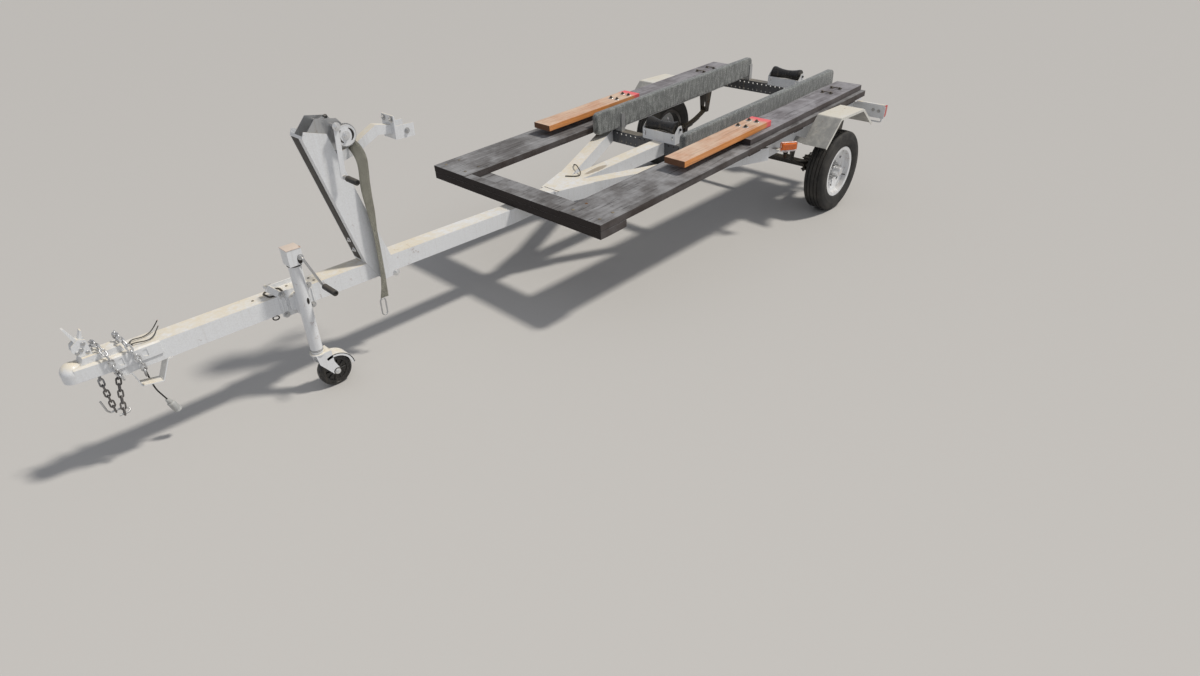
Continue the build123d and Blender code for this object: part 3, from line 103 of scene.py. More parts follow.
def spaced(label: str) -> str:
    """Socket name of a keyword, with its underscores as spaces."""
    return label.replace("_", " ")


# Node groups


class NodeSheet:
    """A node tree being written, with short calls for the nodes the finishes use."""

    def __init__(self, tree: bpy.types.NodeTree) -> None:
        """Keep the tree that nodes are added to."""
        self.tree = tree

    def node(self, kind: str, **settings: object) -> bpy.types.Node:
        """Add a node and set its properties.

        Args:
            kind: the node's type name, such as ShaderNodeTexNoise.
            **settings: properties of the node, such as operation="ADD".

        Returns:
            The new node.
        """
        made = self.tree.nodes.new(kind)
        for key, value in settings.items():
            setattr(made, key, value)
        return made

    def link(self, source: Socket, target: Socket) -> None:
        """Join an output socket to an input socket."""
        self.tree.links.new(source, target)

    def feed(self, target: Socket, value: object) -> None:
        """Set a socket from a number or colour, or join it to another socket.

        Args:
            target: The input socket.
            value: A number, a colour or an output socket.
        """
        if isinstance(value, Socket):
            self.link(value, target)
        else:
            target.default_value = value

    def fed(self, kind: str, inputs: dict[str, object], **settings: object) -> bpy.types.Node:
        """Add a node whose named inputs are set or joined.

        Args:
            kind: Type name of the node.
            inputs: Value or socket by input name.
            **settings: Attributes of the node.

        Returns:
            The node.
        """
        made = self.node(kind, **settings)
        for label, value in inputs.items():
            self.feed(made.inputs[label], value)
        return made

    def math(self, operation: str, first: object, second: object = 0.0) -> Socket:
        """Add a Math node and return its output.

        Args:
            operation: Name of the operation.
            first: First number or socket.
            second: Second number or socket.

        Returns:
            The output socket.
        """
        made = self.node("ShaderNodeMath", operation=operation)
        self.feed(made.inputs[0], first)
        self.feed(made.inputs[1], second)
        return made.outputs[0]

    def times(self, first: object, second: object) -> Socket:
        """Product of two values."""
        return self.math("MULTIPLY", first, second)

    def plus(self, first: object, second: object) -> Socket:
        """Sum of two values."""
        return self.math("ADD", first, second)

    def minus(self, first: object, second: object) -> Socket:
        """The first value less the second."""
        return self.math("SUBTRACT", first, second)

    def blend(self, first: object, share: float, second: object, other: float) -> Socket:
        """Sum of two values, each times its share."""
        return self.plus(self.times(first, share), self.times(second, other))

    def vector(self, operation: str, first: object, second: object = (0.0, 0.0, 0.0)) -> Socket:
        """Add a Vector Math node and return its vector, or its value where that is a number.

        Args:
            operation: Name of the operation.
            first: First vector or socket.
            second: Second vector or socket.

        Returns:
            The output socket.
        """
        made = self.node("ShaderNodeVectorMath", operation=operation)
        self.feed(made.inputs[0], first)
        self.feed(made.inputs[1], second)
        return made.outputs["Value" if operation in ("LENGTH", "DOT_PRODUCT") else "Vector"]

    def mix(self, factor: object, first: object, second: object) -> Socket:
        """Add a colour mix and return its result."""
        inputs = {"Factor": factor, "A": first, "B": second}
        return self.fed("ShaderNodeMix", inputs, data_type="RGBA", blend_type="MIX").outputs["Result"]

    def ramp(self, value: object, low: float, high: float) -> Socket:
        """Smoothly map value from low..high to 0..1."""
        inputs = {"Value": value, "From Min": low, "From Max": high}
        return self.fed("ShaderNodeMapRange", inputs, interpolation_type="SMOOTHSTEP").outputs["Result"]

    def noise(self, vector: object, scale: float, detail: float = 3.0, rough: float = 0.55) -> Socket:
        """Add a noise texture and return its value."""
        inputs = {"Vector": vector, "Scale": scale, "Detail": detail, "Roughness": rough}
        return self.fed("ShaderNodeTexNoise", inputs).outputs[0]

    def place(self, kind: str = "Object") -> Socket:
        """Object coordinates, or another output of the Texture Coordinate node."""
        return self.node("ShaderNodeTexCoord").outputs[kind]

    def split(self, vector: Socket, axis: str) -> Socket:
        """One axis of a vector."""
        return self.fed("ShaderNodeSeparateXYZ", {"Vector": vector}).outputs[axis]

    def facing(self, axis: str) -> Socket:
        """How far the surface faces along an axis, -1 to 1."""
        return self.split(self.node("ShaderNodeNewGeometry").outputs["Normal"], axis)

    def stretched(self, scale: Point, turn: Point = (0.0, 0.0, 0.0)) -> Socket:
        """Object coordinates scaled along each axis, for grain and streaks."""
        inputs = {"Vector": self.place(), "Scale": scale, "Rotation": turn}
        return self.fed("ShaderNodeMapping", inputs).outputs["Vector"]

    def group(self, name: str, **values: float | Color) -> bpy.types.NodeOutputs:
        """Add a node group.

        Args:
            name: the group's name.
            **values: value of each input, with underscores for the spaces in its name.

        Returns:
            The group node's outputs.
        """
        made = self.node("ShaderNodeGroup")
        made.node_tree = bpy.data.node_groups[name]
        for label, value in values.items():
            made.inputs[spaced(label)].default_value = rgba(value) if isinstance(value, tuple) else value
        return made.outputs


class GroupSheet(NodeSheet):
    """A shader node group being written, with its inputs and outputs by name."""

    def __init__(self, name: str, outputs: Sequence[str], **inputs: float | Color) -> None:
        """Start the group.

        Args:
            name: the group's name.
            outputs: the outputs' names; Color is a colour and any other a number.
            **inputs: default of each input, with underscores for the spaces in its name.
        """
        super().__init__(bpy.data.node_groups.new(name, "ShaderNodeTree"))
        number, colour = "NodeSocketFloat", "NodeSocketColor"
        add = self.tree.interface.new_socket
        for label, value in inputs.items():
            tinted = isinstance(value, tuple)
            socket = add(name=spaced(label), in_out="INPUT", socket_type=colour if tinted else number)
            socket.default_value = rgba(value) if tinted else value
        for label in outputs:
            add(name=label, in_out="OUTPUT", socket_type=colour if label == "Color" else number)
        self.given = self.node("NodeGroupInput").outputs
        self.out = self.node("NodeGroupOutput").inputs


def build_weathering() -> None:
    """Dust on what faces up, streaks below edges, and rust spots, for paint and steel."""
    sheet = GroupSheet(
        "Weathering", ("Color", "Roughness", "Height"),
        Base=(0.8, 0.8, 0.8), Dust=(0.42, 0.33, 0.2), Dust_Amount=0.4, Rust_Amount=0.1, Grime_Amount=0.3,
        Roughness=0.45,
    )
    given = sheet.given
    place = sheet.place()
    upward = sheet.ramp(sheet.facing("Z"), 0.25, 0.95)
    broad = sheet.noise(place, 3.2, 4.0, 0.6)
    fine = sheet.noise(place, 38.0, 4.0, 0.65)
    speckle = sheet.noise(place, 190.0, 2.0, 0.6)
    patches = sheet.ramp(sheet.blend(broad, 0.6, fine, 0.4), 0.3, 0.58)
    dust = sheet.times(sheet.times(upward, patches), given["Dust Amount"])
    streaks = sheet.ramp(sheet.noise(sheet.stretched((70.0, 70.0, 2.6)), 1.0, 3.0, 0.5), 0.5, 0.78)
    grime = sheet.times(sheet.times(streaks, sheet.minus(1.0, upward)), given["Grime Amount"])
    rust = sheet.times(sheet.ramp(sheet.blend(fine, 0.6, broad, 0.4), 0.6, 0.66), given["Rust Amount"])
    tint = sheet.mix(sheet.times(sheet.ramp(speckle, 0.3, 0.8), 0.12), given["Base"], rgba((0.25, 0.22, 0.18)))
    tint = sheet.mix(grime, tint, rgba((0.3, 0.25, 0.18)))
    tint = sheet.mix(dust, tint, given["Dust"])
    tint = sheet.mix(rust, tint, rgba((0.2, 0.075, 0.025)))
    rough = sheet.plus(given["Roughness"], sheet.blend(dust, 0.35, rust, 0.3))
    rough = sheet.plus(rough, sheet.times(sheet.minus(fine, 0.5), 0.2))
    sheet.link(tint, sheet.out["Color"])
    sheet.link(rough, sheet.out["Roughness"])
    sheet.link(sheet.blend(fine, 0.5, rust, 1.2), sheet.out["Height"])


def build_timber_grain() -> None:
    """Long-grained timber along X: grain, weathered and dusty tops, its own sides, and ends darkened for end grain and
    painted shade.
    """
    sheet = GroupSheet(
        "TimberGrain", ("Color", "Roughness", "Height"),
        Top=(0.6, 0.4, 0.25), Side=(0.6, 0.4, 0.25), Dark=(0.3, 0.18, 0.1), Silver=(0.4, 0.38, 0.36),
        Silver_Amount=0.3, Crack_Amount=0.4, Roughness=0.75,
    )
    given = sheet.given
    dark, end_grain_and_shade = given["Dark"], rgba((0.018, 0.012, 0.01))
    upward = sheet.ramp(sheet.facing("Z"), 0.5, 0.95)
    level = (0.0, -PITCH, 0.0)
    wave = {"Vector": sheet.stretched((1.6, 30.0, 30.0), level), "Scale": 0.6, "Distortion": 8.0}
    wave |= {"Detail": 4.0, "Detail Scale": 0.8}
    rings = sheet.fed("ShaderNodeTexWave", wave, wave_type="BANDS", bands_direction="DIAGONAL")
    band = sheet.ramp(rings.outputs["Fac"], 0.15, 0.95)
    fibres = sheet.noise(sheet.stretched((6.0, 240.0, 240.0), level), 1.0, 4.0, 0.65)
    streaks = sheet.noise(sheet.stretched((1.1, 46.0, 46.0), level), 1.0, 3.0, 0.55)
    cloud = sheet.ramp(sheet.noise(sheet.place(), 4.2, 5.0, 0.68), 0.36, 0.66)
    tint = sheet.mix(upward, given["Side"], given["Top"])
    for mask, share in ((band, 0.26), (sheet.ramp(fibres, 0.42, 0.7), 0.42), (sheet.ramp(streaks, 0.5, 0.72), 0.24)):
        tint = sheet.mix(sheet.times(mask, share), tint, dark)
    dusty = sheet.times(sheet.blend(cloud, 0.95, sheet.ramp(streaks, 0.5, 0.25), 0.35), 0.8)
    silver = sheet.times(sheet.times(dusty, sheet.plus(0.25, sheet.times(upward, 0.75))), given["Silver Amount"])
    tint = sheet.mix(silver, tint, given["Silver"])
    cracks = sheet.ramp(sheet.noise(sheet.stretched((2.0, 95.0, 95.0), level), 1.0, 2.0, 0.4), 0.64, 0.7)
    cracks = sheet.times(cracks, given["Crack Amount"])
    tint = sheet.mix(cracks, tint, rgba((0.012, 0.01, 0.009)))
    wave = {"Vector": sheet.stretched((1.0, 1.0, 1.0)), "Scale": 60.0, "Distortion": 3.0}
    growth = sheet.fed("ShaderNodeTexWave", wave, wave_type="RINGS", rings_direction="X")
    # Faces along X turn dark: part end grain, part painted shade on the ends.
    end_tint = sheet.mix(sheet.times(growth.outputs["Fac"], 0.6), dark, end_grain_and_shade)
    ends = sheet.ramp(sheet.math("ABSOLUTE", sheet.facing("X")), 0.7, 0.95)
    tint = sheet.mix(ends, tint, sheet.mix(0.45, end_tint, end_grain_and_shade))
    sheet.link(tint, sheet.out["Color"])
    sheet.link(sheet.plus(given["Roughness"], sheet.times(silver, 0.15)), sheet.out["Roughness"])
    sheet.link(sheet.minus(sheet.blend(fibres, 0.6, band, 0.3), cracks), sheet.out["Height"])


def build_fibre_tuft() -> None:
    """Tufted carpet: fine loops, an upright rib, dusty and faded places, and a damp lower edge."""
    sheet = GroupSheet(
        "FibreTuft", ("Color", "Height"), Color=(0.1, 0.1, 0.1), Faded=(0.3, 0.3, 0.28), Fade_Amount=0.5,
    )
    given = sheet.given
    place = sheet.place()
    loops = sheet.noise(place, 210.0, 4.0, 0.75)
    ribs = sheet.noise(sheet.stretched((62.0, 62.0, 15.0)), 1.0, 4.0, 0.7)
    cloud = sheet.ramp(sheet.noise(place, 6.0, 4.0, 0.65), 0.3, 0.72)
    faded = sheet.times(sheet.plus(sheet.times(cloud, 0.5), sheet.ramp(ribs, 0.42, 0.66)), given["Fade Amount"])
    tint = sheet.mix(faded, given["Color"], given["Faded"])
    foot = rear_point(0.0, 0.0, 0.028).dot(PITCHED_UP)
    low = sheet.ramp(sheet.vector("DOT_PRODUCT", place, PITCHED_UP), foot + 0.075, foot + 0.012)
    damp = sheet.times(sheet.ramp(ribs, 0.56, 0.4), sheet.plus(0.3, sheet.times(low, 0.55)))
    tint = sheet.mix(damp, tint, rgba((0.045, 0.047, 0.044)))
    tint = sheet.mix(sheet.times(sheet.ramp(loops, 0.44, 0.62), 0.75), tint, rgba((0.03, 0.032, 0.03)))
    tint = sheet.mix(sheet.times(sheet.ramp(loops, 0.44, 0.3), 0.5), tint, given["Faded"])
    sheet.link(tint, sheet.out["Color"])
    sheet.link(sheet.blend(loops, 0.7, ribs, 0.4), sheet.out["Height"])


# Finishes


@dataclass(frozen=True)
class Finish:
    """What every finish has: a name, a colour and how rough and bumpy it is."""

    name: str
    color: Color
    roughness: float = 0.5
    metallic: float = 0.0
    bump: float = 0.25
    bump_depth: float = 0.001
    coat: float = 0.0
    coat_roughness: float = 0.15

    def material(self) -> bpy.types.Material:
        """The material, built the first time it is asked for.

        Returns:
            The material.
        """
        known = bpy.data.materials.get(f"{self.name}_finish")
        if known is not None:
            return known
        made = bpy.data.materials.new(f"{self.name}_finish")
        made.use_nodes = True
        shader = made.node_tree.nodes["Principled BSDF"]
        shader.inputs["Metallic"].default_value = self.metallic
        shader.inputs["Roughness"].default_value = self.roughness
        shader.inputs["Coat Weight"].default_value = self.coat
        shader.inputs["Coat Roughness"].default_value = self.coat_roughness
        made.diffuse_color = rgba(self.color)
        self.dress(NodeSheet(made.node_tree), shader)
        return made

    def dress(self, sheet: NodeSheet, shader: bpy.types.Node) -> None:
        """Colour the shader; each kind of finish has its own way."""
        raise NotImplementedError

    def surface(self, sheet: NodeSheet, shader: bpy.types.Node, tint: Socket, height: Socket) -> None:
        """Lead a colour to the shader, and a height through a Bump node to its normal."""
        sheet.link(tint, shader.inputs["Base Color"])
        inputs = {"Strength": self.bump, "Distance": self.bump_depth, "Height": height}
        sheet.link(sheet.fed("ShaderNodeBump", inputs).outputs["Normal"], shader.inputs["Normal"])


@dataclass(frozen=True)
class WornFinish(Finish):
    """Painted or bare metal and plastic that has stood outdoors."""

    dust_color: Color = (0.5, 0.42, 0.29)
    dust: float = 0.35
    rust: float = 0.1
    grime: float = 0.25

    def dress(self, sheet: NodeSheet, shader: bpy.types.Node) -> None:
        """Feed the shader from the Weathering group.

        Args:
            sheet: The node sheet of the material.
            shader: The shader to feed.
        """
        worn = sheet.group(
            "Weathering", Base=self.color, Dust=self.dust_color, Dust_Amount=self.dust,
            Rust_Amount=self.rust, Grime_Amount=self.grime, Roughness=self.roughness,
        )
        sheet.link(worn["Roughness"], shader.inputs["Roughness"])
        self.surface(sheet, shader, self.colour(sheet, worn["Color"]), worn["Height"])

    def colour(self, sheet: NodeSheet, tint: Socket) -> Socket:
        """The weathered colour, which some finishes change further."""
        return tint


@dataclass(frozen=True)
class FenderFinish(WornFinish):
    """Fender paint, with road grime beaten into the slope that faces forward."""

    slope_grime: Color = (0.3, 0.295, 0.275)

    def colour(self, sheet: NodeSheet, tint: Socket) -> Socket:
        """Grime on the slope, thick and thin in clouds.

        Args:
            sheet: The node sheet of the material.
            tint: The colour so far.

        Returns:
            The new colour.
        """
        sloping = sheet.ramp(sheet.facing("X"), 0.15, 0.6)
        cloud = sheet.ramp(sheet.noise(sheet.place(), 12.0, 5.0, 0.7), 0.3, 0.6)
        mask = sheet.times(sloping, sheet.plus(0.45, sheet.times(cloud, 0.5)))
        return sheet.mix(mask, tint, rgba(self.slope_grime))


@dataclass(frozen=True)
class RimFinish(WornFinish):
    """White paint on the wheel's outer face, and painted shade on the barrel behind the disc."""

    # colour of the painted shade on the barrel behind the disc
    barrel_shade: Color = (0.035, 0.03, 0.026)
    disc_out: float = 0.7385
    fade: float = 0.003

    def colour(self, sheet: NodeSheet, tint: Socket) -> Socket:
        """Painted shade inboard of the disc, so its vents look into shadow."""
        side = sheet.math("ABSOLUTE", sheet.split(sheet.place(), "Y"))
        return sheet.mix(sheet.ramp(side, self.disc_out, self.disc_out - self.fade), tint, rgba(self.barrel_shade))


@dataclass(frozen=True)
class BeamFinish(WornFinish):
    """White paint with a place on top rubbed through to brown."""

    worn: Color = (0.3, 0.24, 0.17)
    worn_at: Point = (-0.7, 0.012, 0.508)
    worn_size: Point = (0.1, 0.021, 0.02)

    def colour(self, sheet: NodeSheet, tint: Socket) -> Socket:
        """Brown inside a ragged oval about the worn place.

        Args:
            sheet: The node sheet of the material.
            tint: The colour so far.

        Returns:
            The new colour.
        """
        place = sheet.place()
        away = sheet.vector("SUBTRACT", place, tongue_point(*self.worn_at))
        reach = sheet.vector("LENGTH", sheet.vector("DIVIDE", away, self.worn_size))
        ragged = sheet.plus(reach, sheet.times(sheet.noise(place, 45.0, 4.0, 0.65), 0.9))
        return sheet.mix(sheet.times(sheet.ramp(ragged, 1.6, 1.25), 0.8), tint, rgba(self.worn))


@dataclass(frozen=True)
class ChainFinish(WornFinish):
    """Bright zinc on the links over the tongue, darker on those that hang below a height."""

    dark: Color = (0.1, 0.085, 0.075)
    dark_below: float = 0.4
    fade: float = 0.05

    def colour(self, sheet: NodeSheet, tint: Socket) -> Socket:
        """Darken the links below a height, and patches of the others.

        Args:
            sheet: The node sheet of the material.
            tint: The colour so far.

        Returns:
            The new colour.
        """
        place = sheet.place()
        low = sheet.ramp(sheet.split(place, "Z"), self.dark_below, self.dark_below - self.fade)
        patches = sheet.ramp(sheet.noise(place, 90.0, 3.0, 0.6), 0.5, 0.68)
        mask = sheet.math("MAXIMUM", sheet.times(low, 0.85), sheet.times(patches, 0.7))
        return sheet.mix(mask, tint, rgba(self.dark))


@dataclass(frozen=True)
class TimberFinish(Finish):
    """Sawn timber with its grain along X, and paint on its tips where it has any."""

    side: Color = (0.1, 0.08, 0.07)
    dark: Color = (0.2, 0.12, 0.07)
    silver: Color = (0.4, 0.38, 0.36)
    silver_amount: float = 0.85
    cracks: float = 0.4
    tip_paint: Color = (0.8, 0.1, 0.14)
    tip_from: float | None = None
    tip_fade: Pair = (0.13, 0.075)

    def dress(self, sheet: NodeSheet, shader: bpy.types.Node) -> None:
        """Feed the shader from the TimberGrain group, and paint the tips behind tip_from.

        Args:
            sheet: The node sheet of the material.
            shader: The shader to feed.
        """
        grain = sheet.group(
            "TimberGrain", Top=self.color, Side=self.side, Dark=self.dark, Silver=self.silver,
            Silver_Amount=self.silver_amount, Crack_Amount=self.cracks, Roughness=self.roughness,
        )
        tint = grain["Color"]
        if self.tip_from is not None:
            place = sheet.place()
            edge = sheet.plus(sheet.split(place, "X"), sheet.times(sheet.noise(place, 22.0, 3.0), 0.09))
            painted = sheet.ramp(edge, self.tip_from + self.tip_fade[0], self.tip_from + self.tip_fade[1])
            tint = sheet.mix(sheet.times(painted, 0.85), tint, rgba(self.tip_paint))
        sheet.link(grain["Roughness"], shader.inputs["Roughness"])
        self.surface(sheet, shader, tint, grain["Height"])


@dataclass(frozen=True)
class CarpetFinish(Finish):
    """Marine carpet drawn round the bunks."""

    faded: Color = (0.3, 0.31, 0.3)
    fade: float = 0.6
    sheen: float = 0.4
    sheen_roughness: float = 0.6

    def dress(self, sheet: NodeSheet, shader: bpy.types.Node) -> None:
        """Feed the shader from the FibreTuft group.

        Args:
            sheet: The node sheet of the material.
            shader: The shader to feed.
        """
        tuft = sheet.group("FibreTuft", Color=self.color, Faded=self.faded, Fade_Amount=self.fade)
        shader.inputs["Sheen Weight"].default_value = self.sheen
        shader.inputs["Sheen Roughness"].default_value = self.sheen_roughness
        self.surface(sheet, shader, tuft["Color"], tuft["Height"])


@dataclass(frozen=True)
class TyreFinish(Finish):
    """Road tyre rubber, dusty, with cross sipes on the tread read from the piece's UV map."""

    sipes: float = 96.0
    sipe_slant: float = 3.0
    dusty: Color = (0.13, 0.118, 0.1)

    def dress(self, sheet: NodeSheet, shader: bpy.types.Node) -> None:
        """Mix dust into the rubber and press sipes into the tread.

        Args:
            sheet: The node sheet of the material.
            shader: The shader to feed.
        """
        place, chart = sheet.place(), sheet.place("UV")
        dust = sheet.ramp(sheet.noise(place, 7.0, 4.0, 0.65), 0.36, 0.7)
        tint = sheet.mix(sheet.times(dust, 0.34), rgba(self.color), rgba(self.dusty))
        across = sheet.split(chart, "Y")
        turn = sheet.times(sheet.split(chart, "X"), self.sipes)
        saw = sheet.math("FRACT", sheet.plus(turn, sheet.times(across, self.sipe_slant)))
        cut = sheet.ramp(sheet.math("ABSOLUTE", sheet.minus(saw, 0.5)), 0.04, 0.1)
        on_tread = sheet.times(sheet.ramp(across, 0.36, 0.4), sheet.ramp(across, 0.64, 0.6))
        groove = sheet.times(sheet.minus(1.0, cut), on_tread)
        self.surface(sheet, shader, tint, sheet.minus(sheet.times(sheet.noise(place, 240.0, 2.0), 0.2), groove))


@dataclass(frozen=True)
class WebbingFinish(Finish):
    """Woven strap: a twill along the piece's own UV map, soiled and frayed to grey."""

    thread: Pair = (0.004, 0.0025)
    gap: float = 0.0005
    soiled: Color = (0.11, 0.1, 0.08)

    def dress(self, sheet: NodeSheet, shader: bpy.types.Node) -> None:
        """Weave crossing threads from the UV map.

        Args:
            sheet: The node sheet of the material.
            shader: The shader to feed.
        """
        second = tuple(part * 0.8 for part in self.color)
        weave = {
            "Vector": sheet.place("UV"), "Scale": 1.0, "Brick Width": self.thread[0], "Row Height": self.thread[1],
            "Mortar Size": self.gap, "Mortar": rgba((0.02, 0.02, 0.02)), "Color1": rgba(self.color),
            "Color2": rgba(second),
        }
        threads = sheet.fed("ShaderNodeTexBrick", weave)
        soil = sheet.ramp(sheet.noise(sheet.place(), 16.0, 4.0, 0.6), 0.35, 0.7)
        tint = sheet.mix(sheet.times(soil, 0.4), threads.outputs["Color"], rgba(self.soiled))
        self.surface(sheet, shader, tint, sheet.minus(1.0, threads.outputs["Fac"]))


@dataclass(frozen=True)
class LensFinish(Finish):
    """Moulded lamp lens with prisms behind a glossy face."""

    prisms: float = 150.0
    shade: Color = (0.55, 0.4, 0.4)
    dusty: Color = (0.5, 0.4, 0.3)

    def dress(self, sheet: NodeSheet, shader: bpy.types.Node) -> None:
        """Colour by fine prisms and a little dust.

        Args:
            sheet: The node sheet of the material.
            shader: The shader to feed.
        """
        place = sheet.place()
        cells = {"Vector": place, "Scale": self.prisms, "Randomness": 0.0}
        prisms = sheet.fed("ShaderNodeTexVoronoi", cells, distance="CHEBYCHEV").outputs["Distance"]
        dark = tuple(part * share for part, share in zip(self.color, self.shade))
        tint = sheet.mix(sheet.ramp(prisms, 0.1, 0.75), rgba(self.color), rgba(dark))
        dust = sheet.ramp(sheet.noise(place, 30.0, 3.0), 0.45, 0.75)
        self.surface(sheet, shader, sheet.mix(sheet.times(dust, 0.25), tint, rgba(self.dusty)), prisms)


COACH_WHITE: dict[str, object] = {
    "color": (0.77, 0.785, 0.8), "roughness": 0.36, "bump": 0.12, "coat": 0.2,
    "dust_color": (0.68, 0.6, 0.45), "dust": 0.85, "rust": 0.35, "grime": 0.13,
}
PLASTIC_DUST: Color = (0.2, 0.17, 0.13)


class Palette:
    """Every finish of the trailer by the name of the record's material slot."""

    white_paint = WornFinish("white_paint", **COACH_WHITE)
    beam_paint = BeamFinish("beam_paint", **COACH_WHITE)
    rim_paint = RimFinish(
        "rim_paint", (0.8, 0.81, 0.82), 0.34, bump=0.1, coat=0.25, dust_color=(0.3, 0.25, 0.19), dust=0.5,
        rust=0.4, grime=0.4,
    )
    fender_paint = FenderFinish(
        "fender_paint", (0.72, 0.71, 0.66), 0.42, dust_color=(0.6, 0.54, 0.42), dust=0.6, rust=0.6, grime=0.6,
    )
    lid_paint = WornFinish(
        "lid_paint", (0.66, 0.56, 0.5), bump=0.2, dust_color=(0.6, 0.5, 0.4), dust=0.7, rust=0.8, grime=0.4,
    )
    perforated_steel = WornFinish("perforated_steel", (0.11, 0.115, 0.125), 0.45, 0.5, rust=0.2, grime=0.3)
    dark_steel = WornFinish("dark_steel", (0.06, 0.055, 0.05), 0.6, 0.5, 0.4, dust=0.5, rust=0.85, grime=0.5)
    black_steel = WornFinish("black_steel", (0.018, 0.016, 0.015), 0.5, 0.3, 0.3, dust=0.25, rust=0.4, grime=0.2)
    zinc = WornFinish("zinc", (0.55, 0.56, 0.57), 0.38, 0.85, 0.2, rust=0.35, grime=0.3)
    bright_zinc = WornFinish("bright_zinc", (0.8, 0.81, 0.82), 0.3, 0.75, 0.2, dust=0.2, rust=0.15, grime=0.15)
    chain_zinc = ChainFinish("chain_zinc", (0.68, 0.69, 0.7), 0.36, 0.7, dust=0.15, rust=0.5, grime=0.2)
    dark_timber = TimberFinish(
        "dark_timber", (0.13, 0.123, 0.12), 0.85, bump=0.6, bump_depth=0.0014, side=(0.05, 0.036, 0.031),
        dark=(0.03, 0.024, 0.022), silver=(0.35, 0.35, 0.355), cracks=0.7,
    )
    grey_timber = TimberFinish(
        "grey_timber", (0.17, 0.158, 0.166), 0.85, bump=0.5, bump_depth=0.0012, side=(0.085, 0.07, 0.065),
        dark=(0.07, 0.06, 0.062), silver=(0.38, 0.37, 0.385), cracks=0.5,
    )
    new_timber = TimberFinish(
        "new_timber", (0.6, 0.37, 0.25), 0.7, bump=0.35, bump_depth=0.0009, side=(0.8, 0.3, 0.065),
        dark=(0.36, 0.15, 0.06), silver=(0.66, 0.54, 0.42), cracks=0.25, tip_from=NEW_BOARD_REAR,
    )
    carpet = CarpetFinish(
        "carpet", (0.125, 0.135, 0.128), 0.95, bump=1.0, bump_depth=0.004, faded=(0.34, 0.355, 0.33), fade=0.65,
    )
    tyre = TyreFinish("tyre", (0.016, 0.0155, 0.015), 0.75, bump=0.6, bump_depth=0.002)
    rubber = WornFinish(
        "rubber", (0.008, 0.008, 0.009), 0.28, bump=0.12, dust_color=PLASTIC_DUST, dust=0.07, rust=0.0, grime=0.2,
    )
    black_plastic = WornFinish(
        "black_plastic", (0.02, 0.02, 0.021), 0.45, bump=0.15, dust_color=PLASTIC_DUST, dust=0.3, rust=0.0, grime=0.2,
    )
    grey_plastic = WornFinish("grey_plastic", (0.45, 0.46, 0.45), bump=0.15, dust=0.3, rust=0.0, grime=0.4)
    webbing = WebbingFinish("webbing", (0.5, 0.49, 0.4), 0.75, bump=0.7, bump_depth=0.0008)
    copper = WornFinish("copper_strand", (0.6, 0.28, 0.12), 0.35, 1.0, 0.1, dust=0.2, grime=0.1)
    amber_lens = LensFinish("amber_lens", (0.9, 0.2, 0.006), 0.18, bump=0.3, bump_depth=0.0006, coat=0.6)
    red_lens = LensFinish("red_lens", (0.6, 0.02, 0.02), 0.18, bump=0.3, bump_depth=0.0006, coat=0.6)


# Mesh helpers


def new_object(
    name: str, mesh: bpy.types.Mesh, finish: Finish, body: str
) -> bpy.types.Object:
    """Put a finished mesh in the scene as a piece that rides on a body.

    Args:
        name: the piece's name.
        mesh: its mesh, in row-frame metres.
        finish: its only finish.
        body: the CAD body that it rides on.

    Returns:
        The new object.
    """
    mesh.materials.clear()
    mesh.materials.append(finish.material())
    made = bpy.data.objects.new(name, mesh)
    bpy.context.scene.collection.objects.link(made)
    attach(made, body)
    LOG.info("%s: %d faces on %s", name, len(mesh.polygons), body)
    return made


def show(
    name: str, shape: Shape, finish: Finish, body: str = "frame", smooth_under: float = 35.0
) -> bpy.types.Object:
    """Turn a bmesh into a piece with outward normals and edges sharp past an angle.

    Args:
        name: the piece's name.
        shape: the bmesh, which is freed.
        finish: its only finish.
        body: the CAD body that it rides on.
        smooth_under: edges that turn less than this many degrees are smooth.

    Returns:
        The new object.
    """
    bmesh.ops.remove_doubles(shape, verts=shape.verts, dist=1e-6)
    bmesh.ops.recalc_face_normals(shape, faces=shape.faces)
    limit = math.radians(smooth_under)
    for face in shape.faces:
        face.smooth = True
    for edge in shape.edges:
        edge.smooth = len(edge.link_faces) == 2 and edge.calc_face_angle(0.0) < limit
    mesh = bpy.data.meshes.new(name)
    shape.to_mesh(mesh)
    shape.free()
    return new_object(name, mesh, finish, body)


def add_block(shape: Shape, place: Matrix, size: Point, bevel: float, segments: int = 1) -> None:
    """Add a block with softened edges.

    Args:
        shape: the bmesh to add to.
        place: matrix of the block's middle.
        size: its length, width and height.
        bevel: how far its edges are softened.
        segments: steps round each softened edge.
    """
    verts = bmesh.ops.create_cube(shape, size=1.0, matrix=place @ Matrix.Diagonal((*size, 1.0)))["verts"]
    edges = list({edge for vert in verts for edge in vert.link_edges})
    bmesh.ops.bevel(shape, geom=edges, offset=bevel, segments=segments, profile=0.6, affect="EDGES")


def add_rings(shape: Shape, rings: Sequence[Sequence[Vector]], caps: bool = True) -> list[list[bmesh.types.BMVert]]:
    """Join closed rings of points into a skin.

    Args:
        shape: the bmesh to add to.
        rings: rings with the same number of points each.
        caps: whether the first and last ring are filled.

    Returns:
        The vertices, ring by ring.
    """
    rows = [[shape.verts.new(point) for point in ring] for ring in rings]
    count = len(rings[0])
    for near, far in zip(rows, rows[1:]):
        for step in range(count):
            after = (step + 1) % count
            shape.faces.new((near[step], near[after], far[after], far[step]))
    if caps:
        shape.faces.new(list(reversed(rows[0])))
        shape.faces.new(rows[-1])
    return rows


def around(place: Matrix, count: int, shift: Point) -> list[Matrix]:
    """Matrices evenly round a matrix's Z axis, each then moved by shift."""
    angles = (2 * math.pi * step / count for step in range(count))
    return [place @ Matrix.Rotation(angle, 4, "Z") @ Matrix.Translation(shift) for angle in angles]


